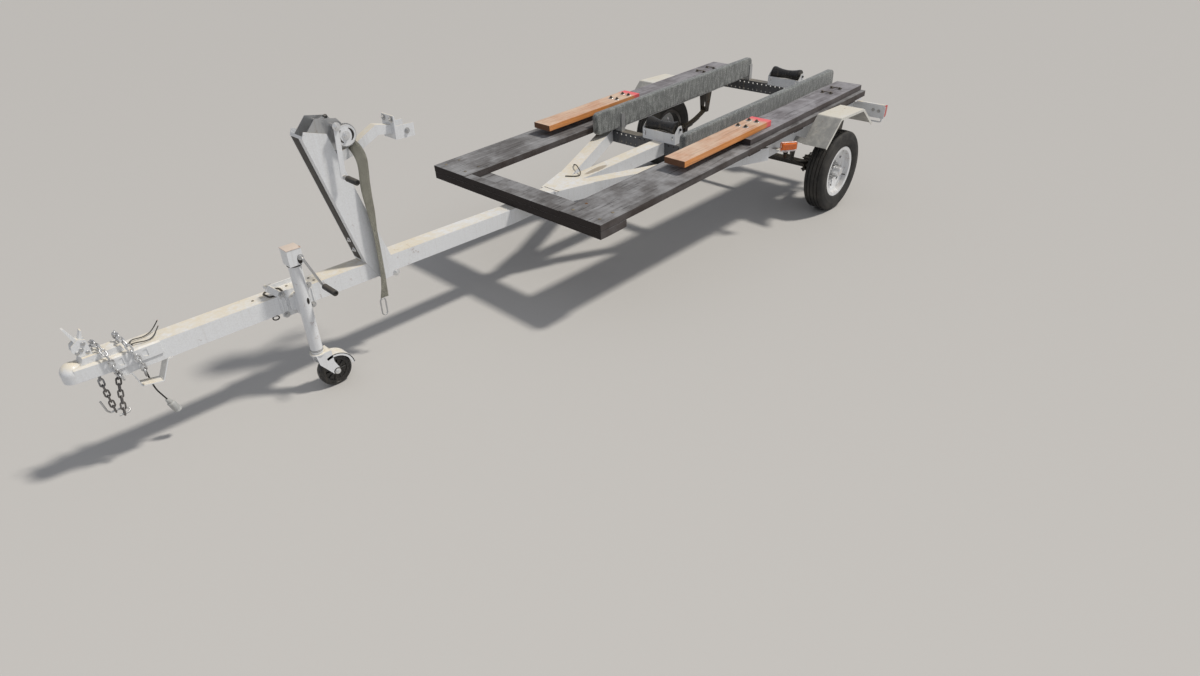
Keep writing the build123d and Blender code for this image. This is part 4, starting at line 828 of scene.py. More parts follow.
def circle_points(place: Matrix, radius: float, count: int) -> list[Vector]:
    """Points round a circle in a matrix's XY plane."""
    angles = (2 * math.pi * step / count for step in range(count))
    return [place @ Vector((radius * math.cos(angle), radius * math.sin(angle), 0.0)) for angle in angles]


def add_turned(shape: Shape, place: Matrix, profile: Sequence[Pair], count: int = 32) -> None:
    """Add a turned piece about a matrix's Z axis.

    Args:
        shape: the bmesh to add to.
        place: matrix whose Z is the axis.
        profile: radius and height of each ring, from the first cap to the last.
        count: points round each ring.
    """
    smallest = 1e-5
    add_rings(shape, [
        circle_points(place @ Matrix.Translation((0.0, 0.0, height)), max(radius, smallest), count)
        for radius, height in profile
    ])


def add_lathe(shape: Shape, place: Matrix, outline: Sequence[Pair], count: int = 48) -> None:
    """Add a ring-shaped piece turned from a closed outline about a matrix's Z axis.

    Args:
        shape: the bmesh to add to.
        place: matrix whose Z is the axis.
        outline: radius and height of each corner of the outline, all off the axis.
        count: steps round the axis.
    """
    turns = around(place, count, (0.0, 0.0, 0.0))
    rings = [[turn @ Vector((radius, 0.0, height)) for radius, height in outline] for turn in turns + turns[:1]]
    add_rings(shape, rings, caps=False)


def add_washer(shape: Shape, place: Matrix, inner: float, outer: float, low: float, high: float) -> None:
    """Add a flat ring between two radii and two heights, its outer edge eased."""
    ease = min(0.0006, (high - low) / 3)
    bottom = ((inner, low), (outer - ease, low), (outer, low + ease))
    add_lathe(shape, place, (*bottom, (outer, high - ease), (outer - ease, high), (inner, high)))


def add_grip(shape: Shape, place: Matrix, length: float, ribs: int, radius: float = 0.013) -> None:
    """Add a hand grip with ribs round it, a swollen collar at its foot and a blind end.

    Args:
        shape: The bmesh to add to.
        place: Matrix at the foot of the grip, its Z along it.
        length: Length in metres.
        ribs: Number of ribs.
        radius: Radius over the ribs.
    """
    root = radius * 0.9
    rib_from, plain_length = 0.0085, 0.0175
    profile = [(radius * 0.84, 0.0), (radius, 0.0012), (radius, 0.0062), (root, 0.0075)]
    pitch = (length - plain_length) / ribs
    for rib in range(ribs):
        at = rib_from + pitch * rib
        for level, share in ((root, 0.0), (radius * 0.985, 0.22), (radius * 0.985, 0.66), (root, 0.9)):
            profile.append((level, at + pitch * share))
    for share, back in ((0.98, 0.0062), (0.97, 0.0018), (0.82, 0.0), (0.6, 0.0), (0.55, 0.005)):
        profile.append((radius * share, length - back))
    add_turned(shape, place, profile)


def axis_matrix(origin: Vector, axis: Vector) -> Matrix:
    """Matrix at a point with its Z along an axis."""
    return Matrix.Translation(origin) @ axis.to_track_quat("Z", "Y").to_matrix().to_4x4()


def add_tube(shape: Shape, points: Sequence[Vector], radius: float, count: int = 12) -> None:
    """Add a round bar along a run of points, its rings square to the run.

    Args:
        shape: The bmesh to add to.
        points: Middle line of the bar.
        radius: Radius of the bar.
        count: Corners of each ring.
    """
    rings = []
    for index, point in enumerate(points):
        before = points[max(index - 1, 0)]
        after = points[min(index + 1, len(points) - 1)]
        rings.append(circle_points(axis_matrix(point, (after - before).normalized()), radius, count))
    up = rings[0][0]
    for number in range(1, len(rings)):
        shift = min(range(count), key=lambda step: (rings[number][step] - up).length)
        rings[number] = rings[number][shift:] + rings[number][:shift]
        up = rings[number][0]
    add_rings(shape, rings)


def rounded_path(corners: Sequence[Vector], radius: float, steps: int = 6) -> list[Vector]:
    """Points along straight legs whose corners are rounded by quadratic curves, for bent rods.

    Args:
        corners: Ends and corners of the legs.
        radius: How far before and after a corner the curve begins and ends.
        steps: Steps of each curve.

    Returns:
        The points, from the first corner to the last.
    """
    most = 0.45
    points = [corners[0]]
    for before, here, after in zip(corners, corners[1:], corners[2:]):
        reach = min(radius, most * (here - before).length, most * (after - here).length)
        start = here + (before - here).normalized() * reach
        end = here + (after - here).normalized() * reach
        for step in range(steps + 1):
            t = step / steps
            points.append(start * (1 - t) ** 2 + here * 2 * t * (1 - t) + end * t * t)
    points.append(corners[-1])
    return points


def weld(name: str, radius: float, corners: Sequence[Vector]) -> None:
    """Lay a lumpy painted weld bead on the frame along straight legs.

    Args:
        name: the piece's name.
        radius: the bead's radius in metres.
        corners: the ends of the legs.
    """
    shape = bmesh.new()
    for near, far in zip(corners, corners[1:]):
        length = (far - near).length
        steps = max(4, int(length / (radius * 1.1)))
        profile = []
        for step in range(steps + 1):
            lump = 1.0 + 0.22 * math.sin(step * 2.1) + 0.12 * noise(near * 40.0 + Vector((step * 0.7, 0.0, 0.0)))
            profile.append((radius * (lump if 0 < step < steps else 0.6), length * step / steps))
        add_turned(shape, axis_matrix(near, (far - near).normalized()), profile, 8)
    show(name, shape, Palette.white_paint, smooth_under=70.0)


# Geometry nodes


class Repeat(Enum):
    """The repeat trees that pieces are made with."""

    BOLT = "HexBolts"
    ROUND_HEAD = "RoundHeads"
    LINK = "ChainLinks"
    TOOTH = "GearTeeth"


class GeometrySheet(NodeSheet):
    """A Geometry Nodes tree being written: places, sizes and a finish in, pieces out."""

    def __init__(self, kind: Repeat, **sizes: float) -> None:
        """Start the tree.

        Args:
            kind: which tree it is.
            **sizes: default of each size it takes, with underscores for the spaces in its name.
        """
        super().__init__(bpy.data.node_groups.new(kind.value, "GeometryNodeTree"))
        self.tree.is_modifier = True
        add = self.tree.interface.new_socket
        add(name="Places", in_out="INPUT", socket_type="NodeSocketGeometry")
        for label, value in sizes.items():
            add(name=spaced(label), in_out="INPUT", socket_type="NodeSocketFloat").default_value = value
        add(name="Finish", in_out="INPUT", socket_type="NodeSocketMaterial")
        add(name="Pieces", in_out="OUTPUT", socket_type="NodeSocketGeometry")
        self.sizes = self.node("NodeGroupInput").outputs
        self.out = self.node("NodeGroupOutput")

    def combined(self, x: object, y: object, z: object) -> Socket:
        """Add a Combine XYZ node and return its vector."""
        return self.fed("ShaderNodeCombineXYZ", {"X": x, "Y": y, "Z": z}).outputs[0]

    def cylinder(self, sides: int, radius: object, depth: object, lift: object) -> Socket:
        """A capped cylinder standing lift above the origin along Z.

        Args:
            sides: Number of sides.
            radius: Its radius.
            depth: Its height.
            lift: Height of its foot above the origin.

        Returns:
            The geometry socket.
        """
        made = self.fed("GeometryNodeMeshCylinder", {"Vertices": sides, "Radius": radius, "Depth": depth})
        middle = self.combined(0.0, 0.0, self.plus(lift, self.times(depth, 0.5)))
        moved = self.fed("GeometryNodeTransform", {"Geometry": made.outputs["Mesh"], "Translation": middle})
        return moved.outputs["Geometry"]

    def attribute(self, name: str) -> Socket:
        """A named vector attribute of the places."""
        made = self.fed("GeometryNodeInputNamedAttribute", {"Name": name}, data_type="FLOAT_VECTOR")
        return made.outputs["Attribute"]

    def turned(self, main: str, side: str | None = None) -> Socket:
        """Rotation with Z along one attribute and X along the other, where it is given.

        Args:
            main: Name of the attribute for Z.
            side: Name of the attribute for X, if there is one.

        Returns:
            The rotation socket.
        """
        kind = "FunctionNodeAlignRotationToVector"
        turn = self.fed(kind, {"Vector": self.attribute(main)}, axis="Z").outputs["Rotation"]
        if side is None:
            return turn
        inputs = {"Rotation": turn, "Vector": self.attribute(side)}
        return self.fed(kind, inputs, axis="X", pivot_axis="Z").outputs["Rotation"]

    def close(self, piece: Socket, rotation: Socket) -> None:
        """Put the piece on every place, make it real, and give it the material.

        Args:
            piece: Geometry of one piece.
            rotation: Its rotation at each place.
        """
        inputs = {"Points": self.sizes["Places"], "Instance": piece, "Rotation": rotation}
        spread = self.fed("GeometryNodeInstanceOnPoints", inputs)
        real = self.node("GeometryNodeRealizeInstances")
        self.link(spread.outputs[0], real.inputs[0])
        inputs = {"Geometry": real.outputs[0], "Material": self.sizes["Finish"]}
        self.link(self.fed("GeometryNodeSetMaterial", inputs).outputs[0], self.out.inputs[0])

    def join(self, *parts: Socket) -> Socket:
        """Join several geometries into one.

        Args:
            *parts: Geometry sockets.

        Returns:
            The joined geometry.
        """
        made = self.node("GeometryNodeJoinGeometry")
        for part in reversed(parts):
            self.link(part, made.inputs[0])
        return made.outputs[0]


def build_bolt_tree() -> None:
    """Hex heads on washers, one at each place, along its axis attribute."""
    sheet = GeometrySheet(Repeat.BOLT, Head_Radius=0.008, Head_Height=0.006, Washer_Radius=0.012, Washer_Height=0.0016)
    radius, height = sheet.sizes["Head Radius"], sheet.sizes["Head Height"]
    thick = sheet.sizes["Washer Height"]
    washer = sheet.cylinder(20, sheet.sizes["Washer Radius"], thick, 0.0)
    head = sheet.cylinder(6, radius, height, thick)
    tip = sheet.cylinder(12, sheet.times(radius, 0.52), sheet.times(height, 0.55), sheet.plus(thick, height))
    sheet.close(sheet.join(washer, head, tip), sheet.turned("axis"))


def build_round_head_tree() -> None:
    """Low domed heads, one at each place, along its axis attribute."""
    sheet = GeometrySheet(Repeat.ROUND_HEAD, Head_Radius=0.006, Head_Height=0.003)
    radius = sheet.sizes["Head Radius"]
    ball = sheet.fed("GeometryNodeMeshUVSphere", {"Segments": 14, "Rings": 8, "Radius": radius})
    flatness = sheet.combined(1.0, 1.0, sheet.math("DIVIDE", sheet.sizes["Head Height"], radius))
    flat = sheet.fed("GeometryNodeTransform", {"Geometry": ball.outputs["Mesh"], "Scale": flatness})
    sheet.close(flat.outputs["Geometry"], sheet.turned("axis"))


def build_link_tree() -> None:
    """Round-wire links, long along the side attribute and flat to the axis attribute."""
    sheet = GeometrySheet(Repeat.LINK, Half_Length=0.0155, Half_Width=0.0073, Wire_Radius=0.0025)
    width = sheet.sizes["Half Width"]
    inputs = {"Width": sheet.times(sheet.sizes["Half Length"], 2.0), "Height": sheet.times(width, 2.0)}
    outline = sheet.fed("GeometryNodeCurvePrimitiveQuadrilateral", inputs)
    inputs = {"Curve": outline.outputs[0], "Count": 5, "Radius": width, "Limit Radius": True}
    rounded = sheet.fed("GeometryNodeFilletCurve", inputs, mode="POLY")
    inputs = {"Resolution": 10, "Radius": sheet.sizes["Wire Radius"]}
    wire = sheet.fed("GeometryNodeCurvePrimitiveCircle", inputs)
    inputs = {"Curve": rounded.outputs[0], "Profile Curve": wire.outputs[0]}
    sheet.close(sheet.fed("GeometryNodeCurveToMesh", inputs).outputs[0], sheet.turned("axis", "side"))


def build_tooth_tree() -> None:
    """Gear teeth: short blocks standing along the axis attribute, wide along the side attribute."""
    sheet = GeometrySheet(Repeat.TOOTH, Tooth_Height=0.005, Tooth_Width=0.004, Gear_Width=0.008)
    size = sheet.combined(*(sheet.sizes[name] for name in ("Gear Width", "Tooth Width", "Tooth Height")))
    block = sheet.fed("GeometryNodeMeshCube", {"Size": size})
    sheet.close(block.outputs["Mesh"], sheet.turned("axis", "side"))


@dataclass(frozen=True)
class Place:
    """Where a repeated piece stands and which way it points."""

    point: Vector
    axis: Vector
    side: Vector = AHEAD


def repeated(
    name: str, kind: Repeat, places: Sequence[Place], finish: Finish, slot: str | None = None, body: str = "frame",
    smooth: bool = False, **sizes: float,
) -> bpy.types.Object:
    """Run a repeat tree over places, and show the plain mesh it makes as one piece.

    Args:
        name: the piece's name.
        kind: which tree.
        places: where the copies go.
        finish: their finish, a material input of the tree.
        slot: not used.
        body: the CAD body that they ride on.
        smooth: whether every face is smooth.
        **sizes: the tree's own inputs, with underscores for spaces.

    Returns:
        The piece.
    """
    points = bpy.data.meshes.new("places")
    points.from_pydata([place.point for place in places], [], [])
    for label in ("axis", "side"):
        stored = points.attributes.new(label, "FLOAT_VECTOR", "POINT")
        for number, place in enumerate(places):
            stored.data[number].vector = getattr(place, label)
    carrier = bpy.data.objects.new("places", points)
    bpy.context.scene.collection.objects.link(carrier)
    tree = bpy.data.node_groups[kind.value]
    modifier = carrier.modifiers.new("repeat", "NODES")
    modifier.node_group = tree
    wanted = {spaced(label): value for label, value in sizes.items()}
    wanted["Finish"] = finish.material()
    for item in tree.interface.items_tree:
        if item.item_type == "SOCKET" and item.in_out == "INPUT" and item.name in wanted:
            modifier[item.identifier] = wanted.pop(item.name)
    if wanted:
        raise ValueError(f"{kind.value} has no input {sorted(wanted)}")
    bpy.context.view_layer.update()
    mesh = bpy.data.meshes.new_from_object(carrier.evaluated_get(bpy.context.evaluated_depsgraph_get()))
    carrier.modifiers.clear()
    bpy.data.objects.remove(carrier)
    for label in ("axis", "side"):
        if label in mesh.attributes:
            mesh.attributes.remove(mesh.attributes[label])
    for polygon in mesh.polygons:
        polygon.material_index = 0
        polygon.use_smooth = smooth or polygon.use_smooth
    mesh.name = name
    return new_object(name, mesh, finish, body)


def bolts(name: str, places: Sequence[Place], finish: Finish, body: str, head: float, height: float) -> None:
    """Hex bolts on washers as one piece.

    Args:
        name: the piece's name.
        places: where each bolt's washer sits and which way its head points.
        finish: the bolts' finish.
        body: the CAD body they ride on.
        head: radius across the hex's corners, in metres.
        height: height of the hex, in metres.
    """
    sizes = {"Head_Radius": head, "Head_Height": height, "Washer_Radius": head * 1.55, "Washer_Height": height * 0.28}
    repeated(name, Repeat.BOLT, places, finish, body=body, **sizes)


# Cords


@dataclass(frozen=True)
class CordRoute:
    """A free wire: its route's points, ahead of the bend, to the left and above the ground."""

    name: str
    diameter: float
    length: float
    points: tuple[Point, ...]
    node: str = ""
    far_end: str = "bare"
    stiffness: str = "stiff"
    lay: str = "loose"

    def spline(self, bevel: float) -> bpy.types.Object:
        """The route as a curve object with a bevel of that radius, linked to the scene.

        Args:
            bevel: Radius of the bevel.

        Returns:
            The curve object.
        """
        curve = bpy.data.curves.new(self.name, "CURVE")
        curve.dimensions = "3D"
        curve.resolution_u = 12
        curve.bevel_depth = bevel
        curve.bevel_resolution = 4
        curve.use_fill_caps = True
        line = curve.splines.new("NURBS")
        line.points.add(len(self.points) - 1)
        for knot, place in zip(line.points, self.points):
            knot.co = (*tongue_point(*place), 1.0)
        line.order_u = 3
        line.use_endpoint_u = True
        made = bpy.data.objects.new(self.name, curve)
        bpy.context.scene.collection.objects.link(made)
        return made

    def smooth_points(self) -> list[Vector]:
        """Points along the spline itself, in order.

        Returns:
            The points, from the first to the last.
        """
        bare = self.spline(0.0)
        bpy.context.view_layer.update()
        mesh = bpy.data.meshes.new_from_object(bare.evaluated_get(bpy.context.evaluated_depsgraph_get()))
        points = [vert.co.copy() for vert in mesh.vertices]
        curve = bare.data
        bpy.data.objects.remove(bare)
        bpy.data.curves.remove(curve)
        bpy.data.meshes.remove(mesh)
        return points


@dataclass
class Wires:
    """The trailer's free wires: one to the plug and two bare ends at the coupler."""

    routes: tuple[CordRoute, ...] = (
        CordRoute("plug_wire_cord", 0.006, 0.198, (
            (1.806, -0.008, 0.3897), (1.803, -0.009, 0.345), (1.801, -0.010, 0.300),
            (1.797, -0.010, 0.256), (1.785, -0.009, 0.222), (1.775, -0.008, 0.196),
        ), "plug_wire", "connector", "medium", "hanging"),
        CordRoute("harness_cord_a", 0.004, 0.139, (
            (1.822, -0.008, 0.472), (1.816, -0.009, 0.481), (1.802, -0.016, 0.484), (1.772, -0.010, 0.481),
            (1.744, -0.018, 0.483), (1.722, -0.028, 0.493), (1.700, -0.037, 0.512),
        ), "harness_wire_a"),
        CordRoute("harness_cord_b", 0.004, 0.138, (
            (1.821, 0.008, 0.472), (1.815, 0.011, 0.481), (1.799, 0.021, 0.485), (1.772, 0.030, 0.482),
            (1.747, 0.022, 0.481), (1.727, 0.002, 0.487), (1.708, -0.018, 0.498),
        ), "harness_wire_b"),
    )
    plug_at: Point = (1.775, -0.008, 0.1957)
    plug_run: Point = (-0.32, 0.0, -0.947)
    cable_nut: Profile = ((0.0045, 0.0), (0.0075, 0.001), (0.0095, 0.005), (0.0098, 0.018), (0.0092, 0.0215))
    plug_shell: Profile = (
        (0.0128, 0.021), (0.0146, 0.0235), (0.0149, 0.030), (0.0149, 0.058), (0.0143, 0.0602), (0.0143, 0.0625),
        (0.0149, 0.064), (0.0149, 0.0695), (0.0138, 0.070), (0.0118, 0.070), (0.0118, 0.056), (0.0, 0.056),
    )
    grip_ribs: int = 16
    rib_at: Point = (0.0146, 0.0, 0.044)
    rib_size: Point = (0.0008, 0.0018, 0.024)
    strands: int = 5
    strand_radius: float = 0.00032
    strand_circle: float = 0.0009

    def build(self) -> None:
        for route in self.routes:
            wire = route.spline(route.diameter / 2)
            wire.data.materials.append(Palette.black_plastic.material())
            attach(wire, "frame")
            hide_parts(route.node)
            end = self.plug() if route.far_end == "connector" else self.bare_end(route)
            LOG.info("%s: %.3f m", route.name, route.length)

    def plug(self) -> bpy.types.Object:
        """Round trailer plug with a grip collar, ribs and a cable nut, hanging mouth down.

        Returns:
            The plug.
        """
        place = axis_matrix(tongue_point(*self.plug_at), Vector(self.plug_run).normalized())
        shape = bmesh.new()
        add_turned(shape, place, self.cable_nut, 24)
        add_turned(shape, place, self.plug_shell)
        for rib in around(place, self.grip_ribs, self.rib_at):
            add_block(shape, rib, self.rib_size, 0.0002)
        made = show("wiring_plug_shell", shape, Palette.grey_plastic)
        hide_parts("wiring_plug")
        return made

    def bare_end(self, route: CordRoute) -> bpy.types.Object:
        """A few copper strands that stand out of a wire's cut end.

        Args:
            route: Route of the wire.

        Returns:
            The strands.
        """
        points = route.smooth_points()
        end, run = points[-1], (points[-1] - points[-3]).normalized()
        first = run.orthogonal().normalized() * self.strand_circle
        shape = bmesh.new()
        for step in range(self.strands):
            side = Matrix.Rotation(2 * math.pi * step / self.strands, 3, run) @ first
            start = end - run * 0.001 + side * 0.4
            tip = end + run * 0.0035 + side * 1.6
            add_tube(shape, [start, (start + tip) / 2 + side * 0.15, tip], self.strand_radius, 6)
        return show(f"{route.name}_strands", shape, Palette.copper)


@dataclass
class WinchStrap:
    """Flat webbing that leaves the drum, turns on edge and hangs down the post's left side to its hook."""

    width: float = 0.048
    thick: float = 0.0026
    edge: float = 0.0012
    column: float = 0.0088
    hook_fill: float = 0.96
    sections: tuple[Ring, ...] = (
        # its middle line, ahead of the bend, to the left and above the ground; turn of its width from Y, degrees
        (0.8302, 0.000, 1.040, 0.0), (0.8200, 0.013, 1.016, 12.0), (0.8040, 0.046, 0.990, 50.0),
        (0.7960, 0.064, 0.950, 78.0), (0.7960, 0.067, 0.906, 90.0), (0.8060, 0.068, 0.820, 90.0),
        (0.8010, 0.070, 0.700, 112.0), (0.8000, 0.069, 0.620, 130.0), (0.8000, 0.069, 0.430, 130.0),
        (0.8070, 0.067, 0.340, 118.0), (0.8140, 0.066, 0.290, 100.0),
    )

    def outline(self) -> Profile:
        """Corners of the webbing's section, round from one edge."""
        w, t = self.width / 2, self.thick / 2
        top = ((-w + self.edge, t), (-w * 0.5, t), (0.0, t), (w * 0.5, t), (w - self.edge, t))
        return ((-w, 0.0), *top, (w, 0.0), *((across, -t) for across, _ in reversed(top)))

    def build(self) -> None:
        middle = CordRoute("strap_line", 0.05, 0.77, tuple(row[:3] for row in self.sections)).smooth_points()
        shape = bmesh.new()
        uv = shape.loops.layers.uv.new("weave")
        rings, along = [], [0.0]
        for before, here in zip(middle, middle[1:]):
            along.append(along[-1] + (here - before).length)
        for number, point in enumerate(middle):
            turn = math.radians(self.turn_at(point.z))
            run = (middle[min(number + 1, len(middle) - 1)] - middle[max(number - 1, 0)]).normalized()
            wide = Vector((-math.sin(turn), math.cos(turn), 0.0))
            wide = (wide - run * wide.dot(run)).normalized()
            flat = run.cross(wide).normalized()
            rings.append([point + wide * a + flat * b for a, b in self.outline()])
        rows = add_rings(shape, rings)
        spot = {}
        for ring, far in zip(rows, along):
            spot.update((vert, (number * self.column, far)) for number, vert in enumerate(ring))
        for face in shape.faces:
            for loop in face.loops:
                loop[uv].uv = spot[loop.vert]
        strap = show("winch_strap_webbing", shape, Palette.webbing, smooth_under=60.0)
        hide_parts("winch_strap")
        self.hook()

    def turn_at(self, height: float) -> float:
        """Turn of the width at a height, between the two nearest sections.

        Args:
            height: Height above the ground.

        Returns:
            The turn in degrees.
        """
        for near, far in zip(self.sections, self.sections[1:]):
            if height >= far[2]:
                share = min(max((near[2] - height) / (near[2] - far[2]), 0.0), 1.0)
                return near[3] + (far[3] - near[3]) * share
        return self.sections[-1][3]

    def hook(self) -> bpy.types.Object:
        """The strap's end ring: a long round-wire loop.

        Returns:
            The loop.
        """
        low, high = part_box("strap_hook")
        middle = (low + high) / 2
        radius = (high.y - low.y) / 2
        half_x = (high.x - low.x) / 2 - radius
        long_way = (high.z - low.z) / 2 - half_x - radius
        path = []
        for step in range(33):
            angle = math.radians(-90 + 360 * step / 32)
            path.append(middle + spoke(angle) * half_x + UP * (long_way if math.sin(angle) > 0 else -long_way))
        shape = bmesh.new()
        add_tube(shape, path, radius * self.hook_fill)
        made = show("strap_hook_wire", shape, Palette.zinc)
        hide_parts("strap_hook")
        return made


# Running gear


@dataclass
class Tyre:
    """A road tyre with a ribbed tread, protector rings and bead, turned about its axle."""

    side: str
    crown: float = 0.2697
    crown_drop: float = 0.0027
    crown_half: float = 0.054
    shoulder: float = 0.0535
    shoulder_v: float = 0.115
    groove_depth: float = 0.0068
    groove_width: float = 0.0062
    groove_wall: float = 0.0008
    grooves: tuple[float, ...] = (-0.037, -0.0135, 0.0135, 0.037)
    segments: int = 132
    zigzag: float = 0.0013
    zigzag_within: float = 0.045
    wall: tuple[Point, ...] = (
        # distance from the tyre's middle, radius, v
        (0.0535, 0.1691, 0.02), (0.0575, 0.1721, 0.05), (0.0612, 0.1745, 0.08), (0.0635, 0.1805, 0.1),
        (0.0632, 0.1835, 0.11), (0.0641, 0.1850, 0.12), (0.0652, 0.1900, 0.14), (0.0678, 0.2040, 0.19),
        (0.0690, 0.2130, 0.21), (0.0698, 0.2160, 0.22), (0.0698, 0.2200, 0.23), (0.0688, 0.2230, 0.24),
        (0.0686, 0.2330, 0.27), (0.0676, 0.2430, 0.29), (0.0662, 0.2485, 0.31), (0.0655, 0.2520, 0.32),
        (0.0628, 0.2570, 0.335), (0.0598, 0.2615, 0.345), (0.0560, 0.2650, 0.355),
    )

    def profile(self) -> list[Point]:
        """Distance along the axle, radius and v of each ring, from inner bead to outer bead.

        Returns:
            The three numbers of each ring.
        """
        half, floor = self.groove_width / 2, self.groove_width / 2 - self.groove_wall
        tread = [(-self.shoulder, 0.0)]
        for middle in self.grooves:
            deep = self.groove_depth
            tread += [(middle - half, 0.0), (middle - floor, deep), (middle + floor, deep), (middle + half, 0.0)]
        tread.append((self.shoulder, 0.0))
        rows = [(-y, radius, v) for y, radius, v in self.wall]
        for y, depth in tread:
            radius = self.crown - self.crown_drop * (y / self.crown_half) ** 2 - depth
            rows.append((y, radius, 0.5 + self.shoulder_v * y / self.shoulder))
        return rows + [(y, radius, 1.0 - v) for y, radius, v in reversed(self.wall)]

    def build(self) -> None:
        """Turn the profile about the axle, with the tread's grooves zigzagging."""
        low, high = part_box(f"tyre_{self.side}")
        middle = (low + high) / 2
        rows = self.profile()
        shape = bmesh.new()
        uv = shape.loops.layers.uv.new("tread")
        rings = []
        for step in range(self.segments):
            out = spoke(2 * math.pi * step / self.segments)
            sway = self.zigzag if step % 2 else -self.zigzag
            rings.append([
                shape.verts.new(middle + out * radius + LEFT * (y + (sway if abs(y) < self.zigzag_within else 0.0)))
                for y, radius, _ in rows
            ])
        for step in range(self.segments):
            near, far = rings[step], rings[(step + 1) % self.segments]
            for place in range(len(rows) - 1):
                face = shape.faces.new((near[place], near[place + 1], far[place + 1], far[place]))
                marks = ((step, place), (step, place + 1), (step + 1, place + 1), (step + 1, place))
                for loop, (turn, row) in zip(face.loops, marks):
                    loop[uv].uv = (turn / self.segments, rows[row][2])
            shape.faces.new((near[-1], near[0], far[0], far[-1]))
        piece = show(f"tyre_{self.side}_ribbed", shape, Palette.tyre, f"wheel_{self.side}", smooth_under=40.0)
        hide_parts(f"tyre_{self.side}")


@dataclass
class WheelTrim:
    """Lug nuts, grease cap, hub ring and valve of one wheel."""

    side: str
    nuts: int = 5
    nut_circle: float = 0.057
    nut_radius: float = 0.0115
    nut_height: float = 0.016
    face_out: float = 0.0042
    cap_radius: float = 0.0312
    cap: Profile = (
        # share of the cap's radius, and metres outboard
        (0.9, 0.022), (1.0, 0.0235), (1.0, 0.0275), (0.975, 0.0282), (0.975, 0.0584), (0.94, 0.0649),
        (0.8, 0.0692), (0.55, 0.0704), (0.2, 0.0704),
    )
    collar: Profile = (
        (0.0305, 0.0035), (0.0384, 0.0035), (0.0384, 0.0075), (0.0368, 0.0085), (0.0368, 0.0238), (0.0358, 0.0248),
        (0.0305, 0.0248),
    )
    weights: int = 5
    weight_at: Point = (0.1545, 0.0, 0.0228)
    weight_size: Point = (0.011, 0.024, 0.0028)
    valve_angle: float = math.radians(205)
    valve_circle: float = 0.128
    valve_out: float = 0.0215
    valve_lean: float = 0.35
    valve: Profile = (
        (0.0058, -0.004), (0.0055, 0.006), (0.0038, 0.012), (0.0036, 0.024), (0.0042, 0.0245), (0.0042, 0.034),
        (0.0035, 0.036),
    )

    def build(self) -> None:
        """Make the nuts by the bolt tree, and turn the cap, the ring and the valve."""
        low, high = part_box(f"tyre_{self.side}")
        hub, body = (low + high) / 2, f"wheel_{self.side}"
        out = LEFT if self.side == "left" else -LEFT
        places = []
        for step in range(self.nuts):
            toward = spoke(2 * math.pi * (step + 0.25) / self.nuts)
            places.append(Place(hub + toward * self.nut_circle + out * self.face_out, out))
        bolts(f"lug_nuts_{self.side}", places, Palette.zinc, body, self.nut_radius, self.nut_height)
        place = axis_matrix(hub, out)
        shape = bmesh.new()
        add_turned(shape, place, [(self.cap_radius * share, height) for share, height in self.cap], 44)
        show(f"grease_cap_{self.side}", shape, Palette.bright_zinc, body)
        shape = bmesh.new()
        add_lathe(shape, place, self.collar, 44)
        for spot in around(place, self.weights, self.weight_at):
            add_block(shape, spot, self.weight_size, 0.0009)
        show(f"hub_ring_{self.side}", shape, Palette.zinc, body)
        toward = spoke(self.valve_angle)
        stem = axis_matrix(
            hub + toward * self.valve_circle + out * self.valve_out, (out - toward * self.valve_lean).normalized()
        )
        shape = bmesh.new()
        add_turned(shape, stem, self.valve, 16)
        show(f"valve_{self.side}", shape, Palette.black_plastic, body)


# Deck


@dataclass
class Plank:
    """A sawn board with softened, slightly uneven edges, lying on the pitched frame."""

    front: float
    rear: float
    inner: float
    outer: float
    low: float
    high: float
    seed: float
    edge: float = 0.0022
    unevenness: float = 0.0006
    cut: float = 0.06
    tip: float = 0.99

    def outline(self, w: float, h: float) -> Profile:
        """Corners of the board's section from its half width and half height.

        Args:
            w: Half width.
            h: Half height.

        Returns:
            The corners, in order.
        """
        e, c = self.edge, 0.3 * self.edge
        return (
            (-w, -h + e), (-w, h - e), (-w + c, h - c), (-w + e, h), (0.0, h), (w - e, h), (w - c, h - c),
            (w, h - e), (w, -h + e), (w - c, -h + c), (w - e, -h), (0.0, -h), (-w + e, -h), (-w + c, -h + c),
        )

    def add(self, shape: Shape) -> None:
        """Add the board to a bmesh, cut along its length so that its edges can wander.

        Args:
            shape: The bmesh to add to.
        """
        cuts = max(4, int((self.front - self.rear) / self.cut))
        w, h = abs(self.outer - self.inner) / 2, (self.high - self.low) / 2
        middle_y, middle_z = (self.inner + self.outer) / 2, (self.low + self.high) / 2
        rings = []
        for step in range(cuts + 1):
            ahead = self.rear + (self.front - self.rear) * step / cuts
            lip = self.tip if step in (0, cuts) else 1.0
            ring = []
            for number, (y, z) in enumerate(self.outline(w, h)):
                wander = noise(Vector((ahead * 9.0, number * 1.7, self.seed)))
                off = abs(wander * self.unevenness - self.unevenness * 0.5)
                across = y * (1.0 - off / max(w, 0.02)) * (1 - (1 - lip) * 0.2)
                ring.append(rear_point(ahead, middle_y + across, middle_z + z * (1 - off / h) * lip))
            rings.append(ring)
        add_rings(shape, rings)


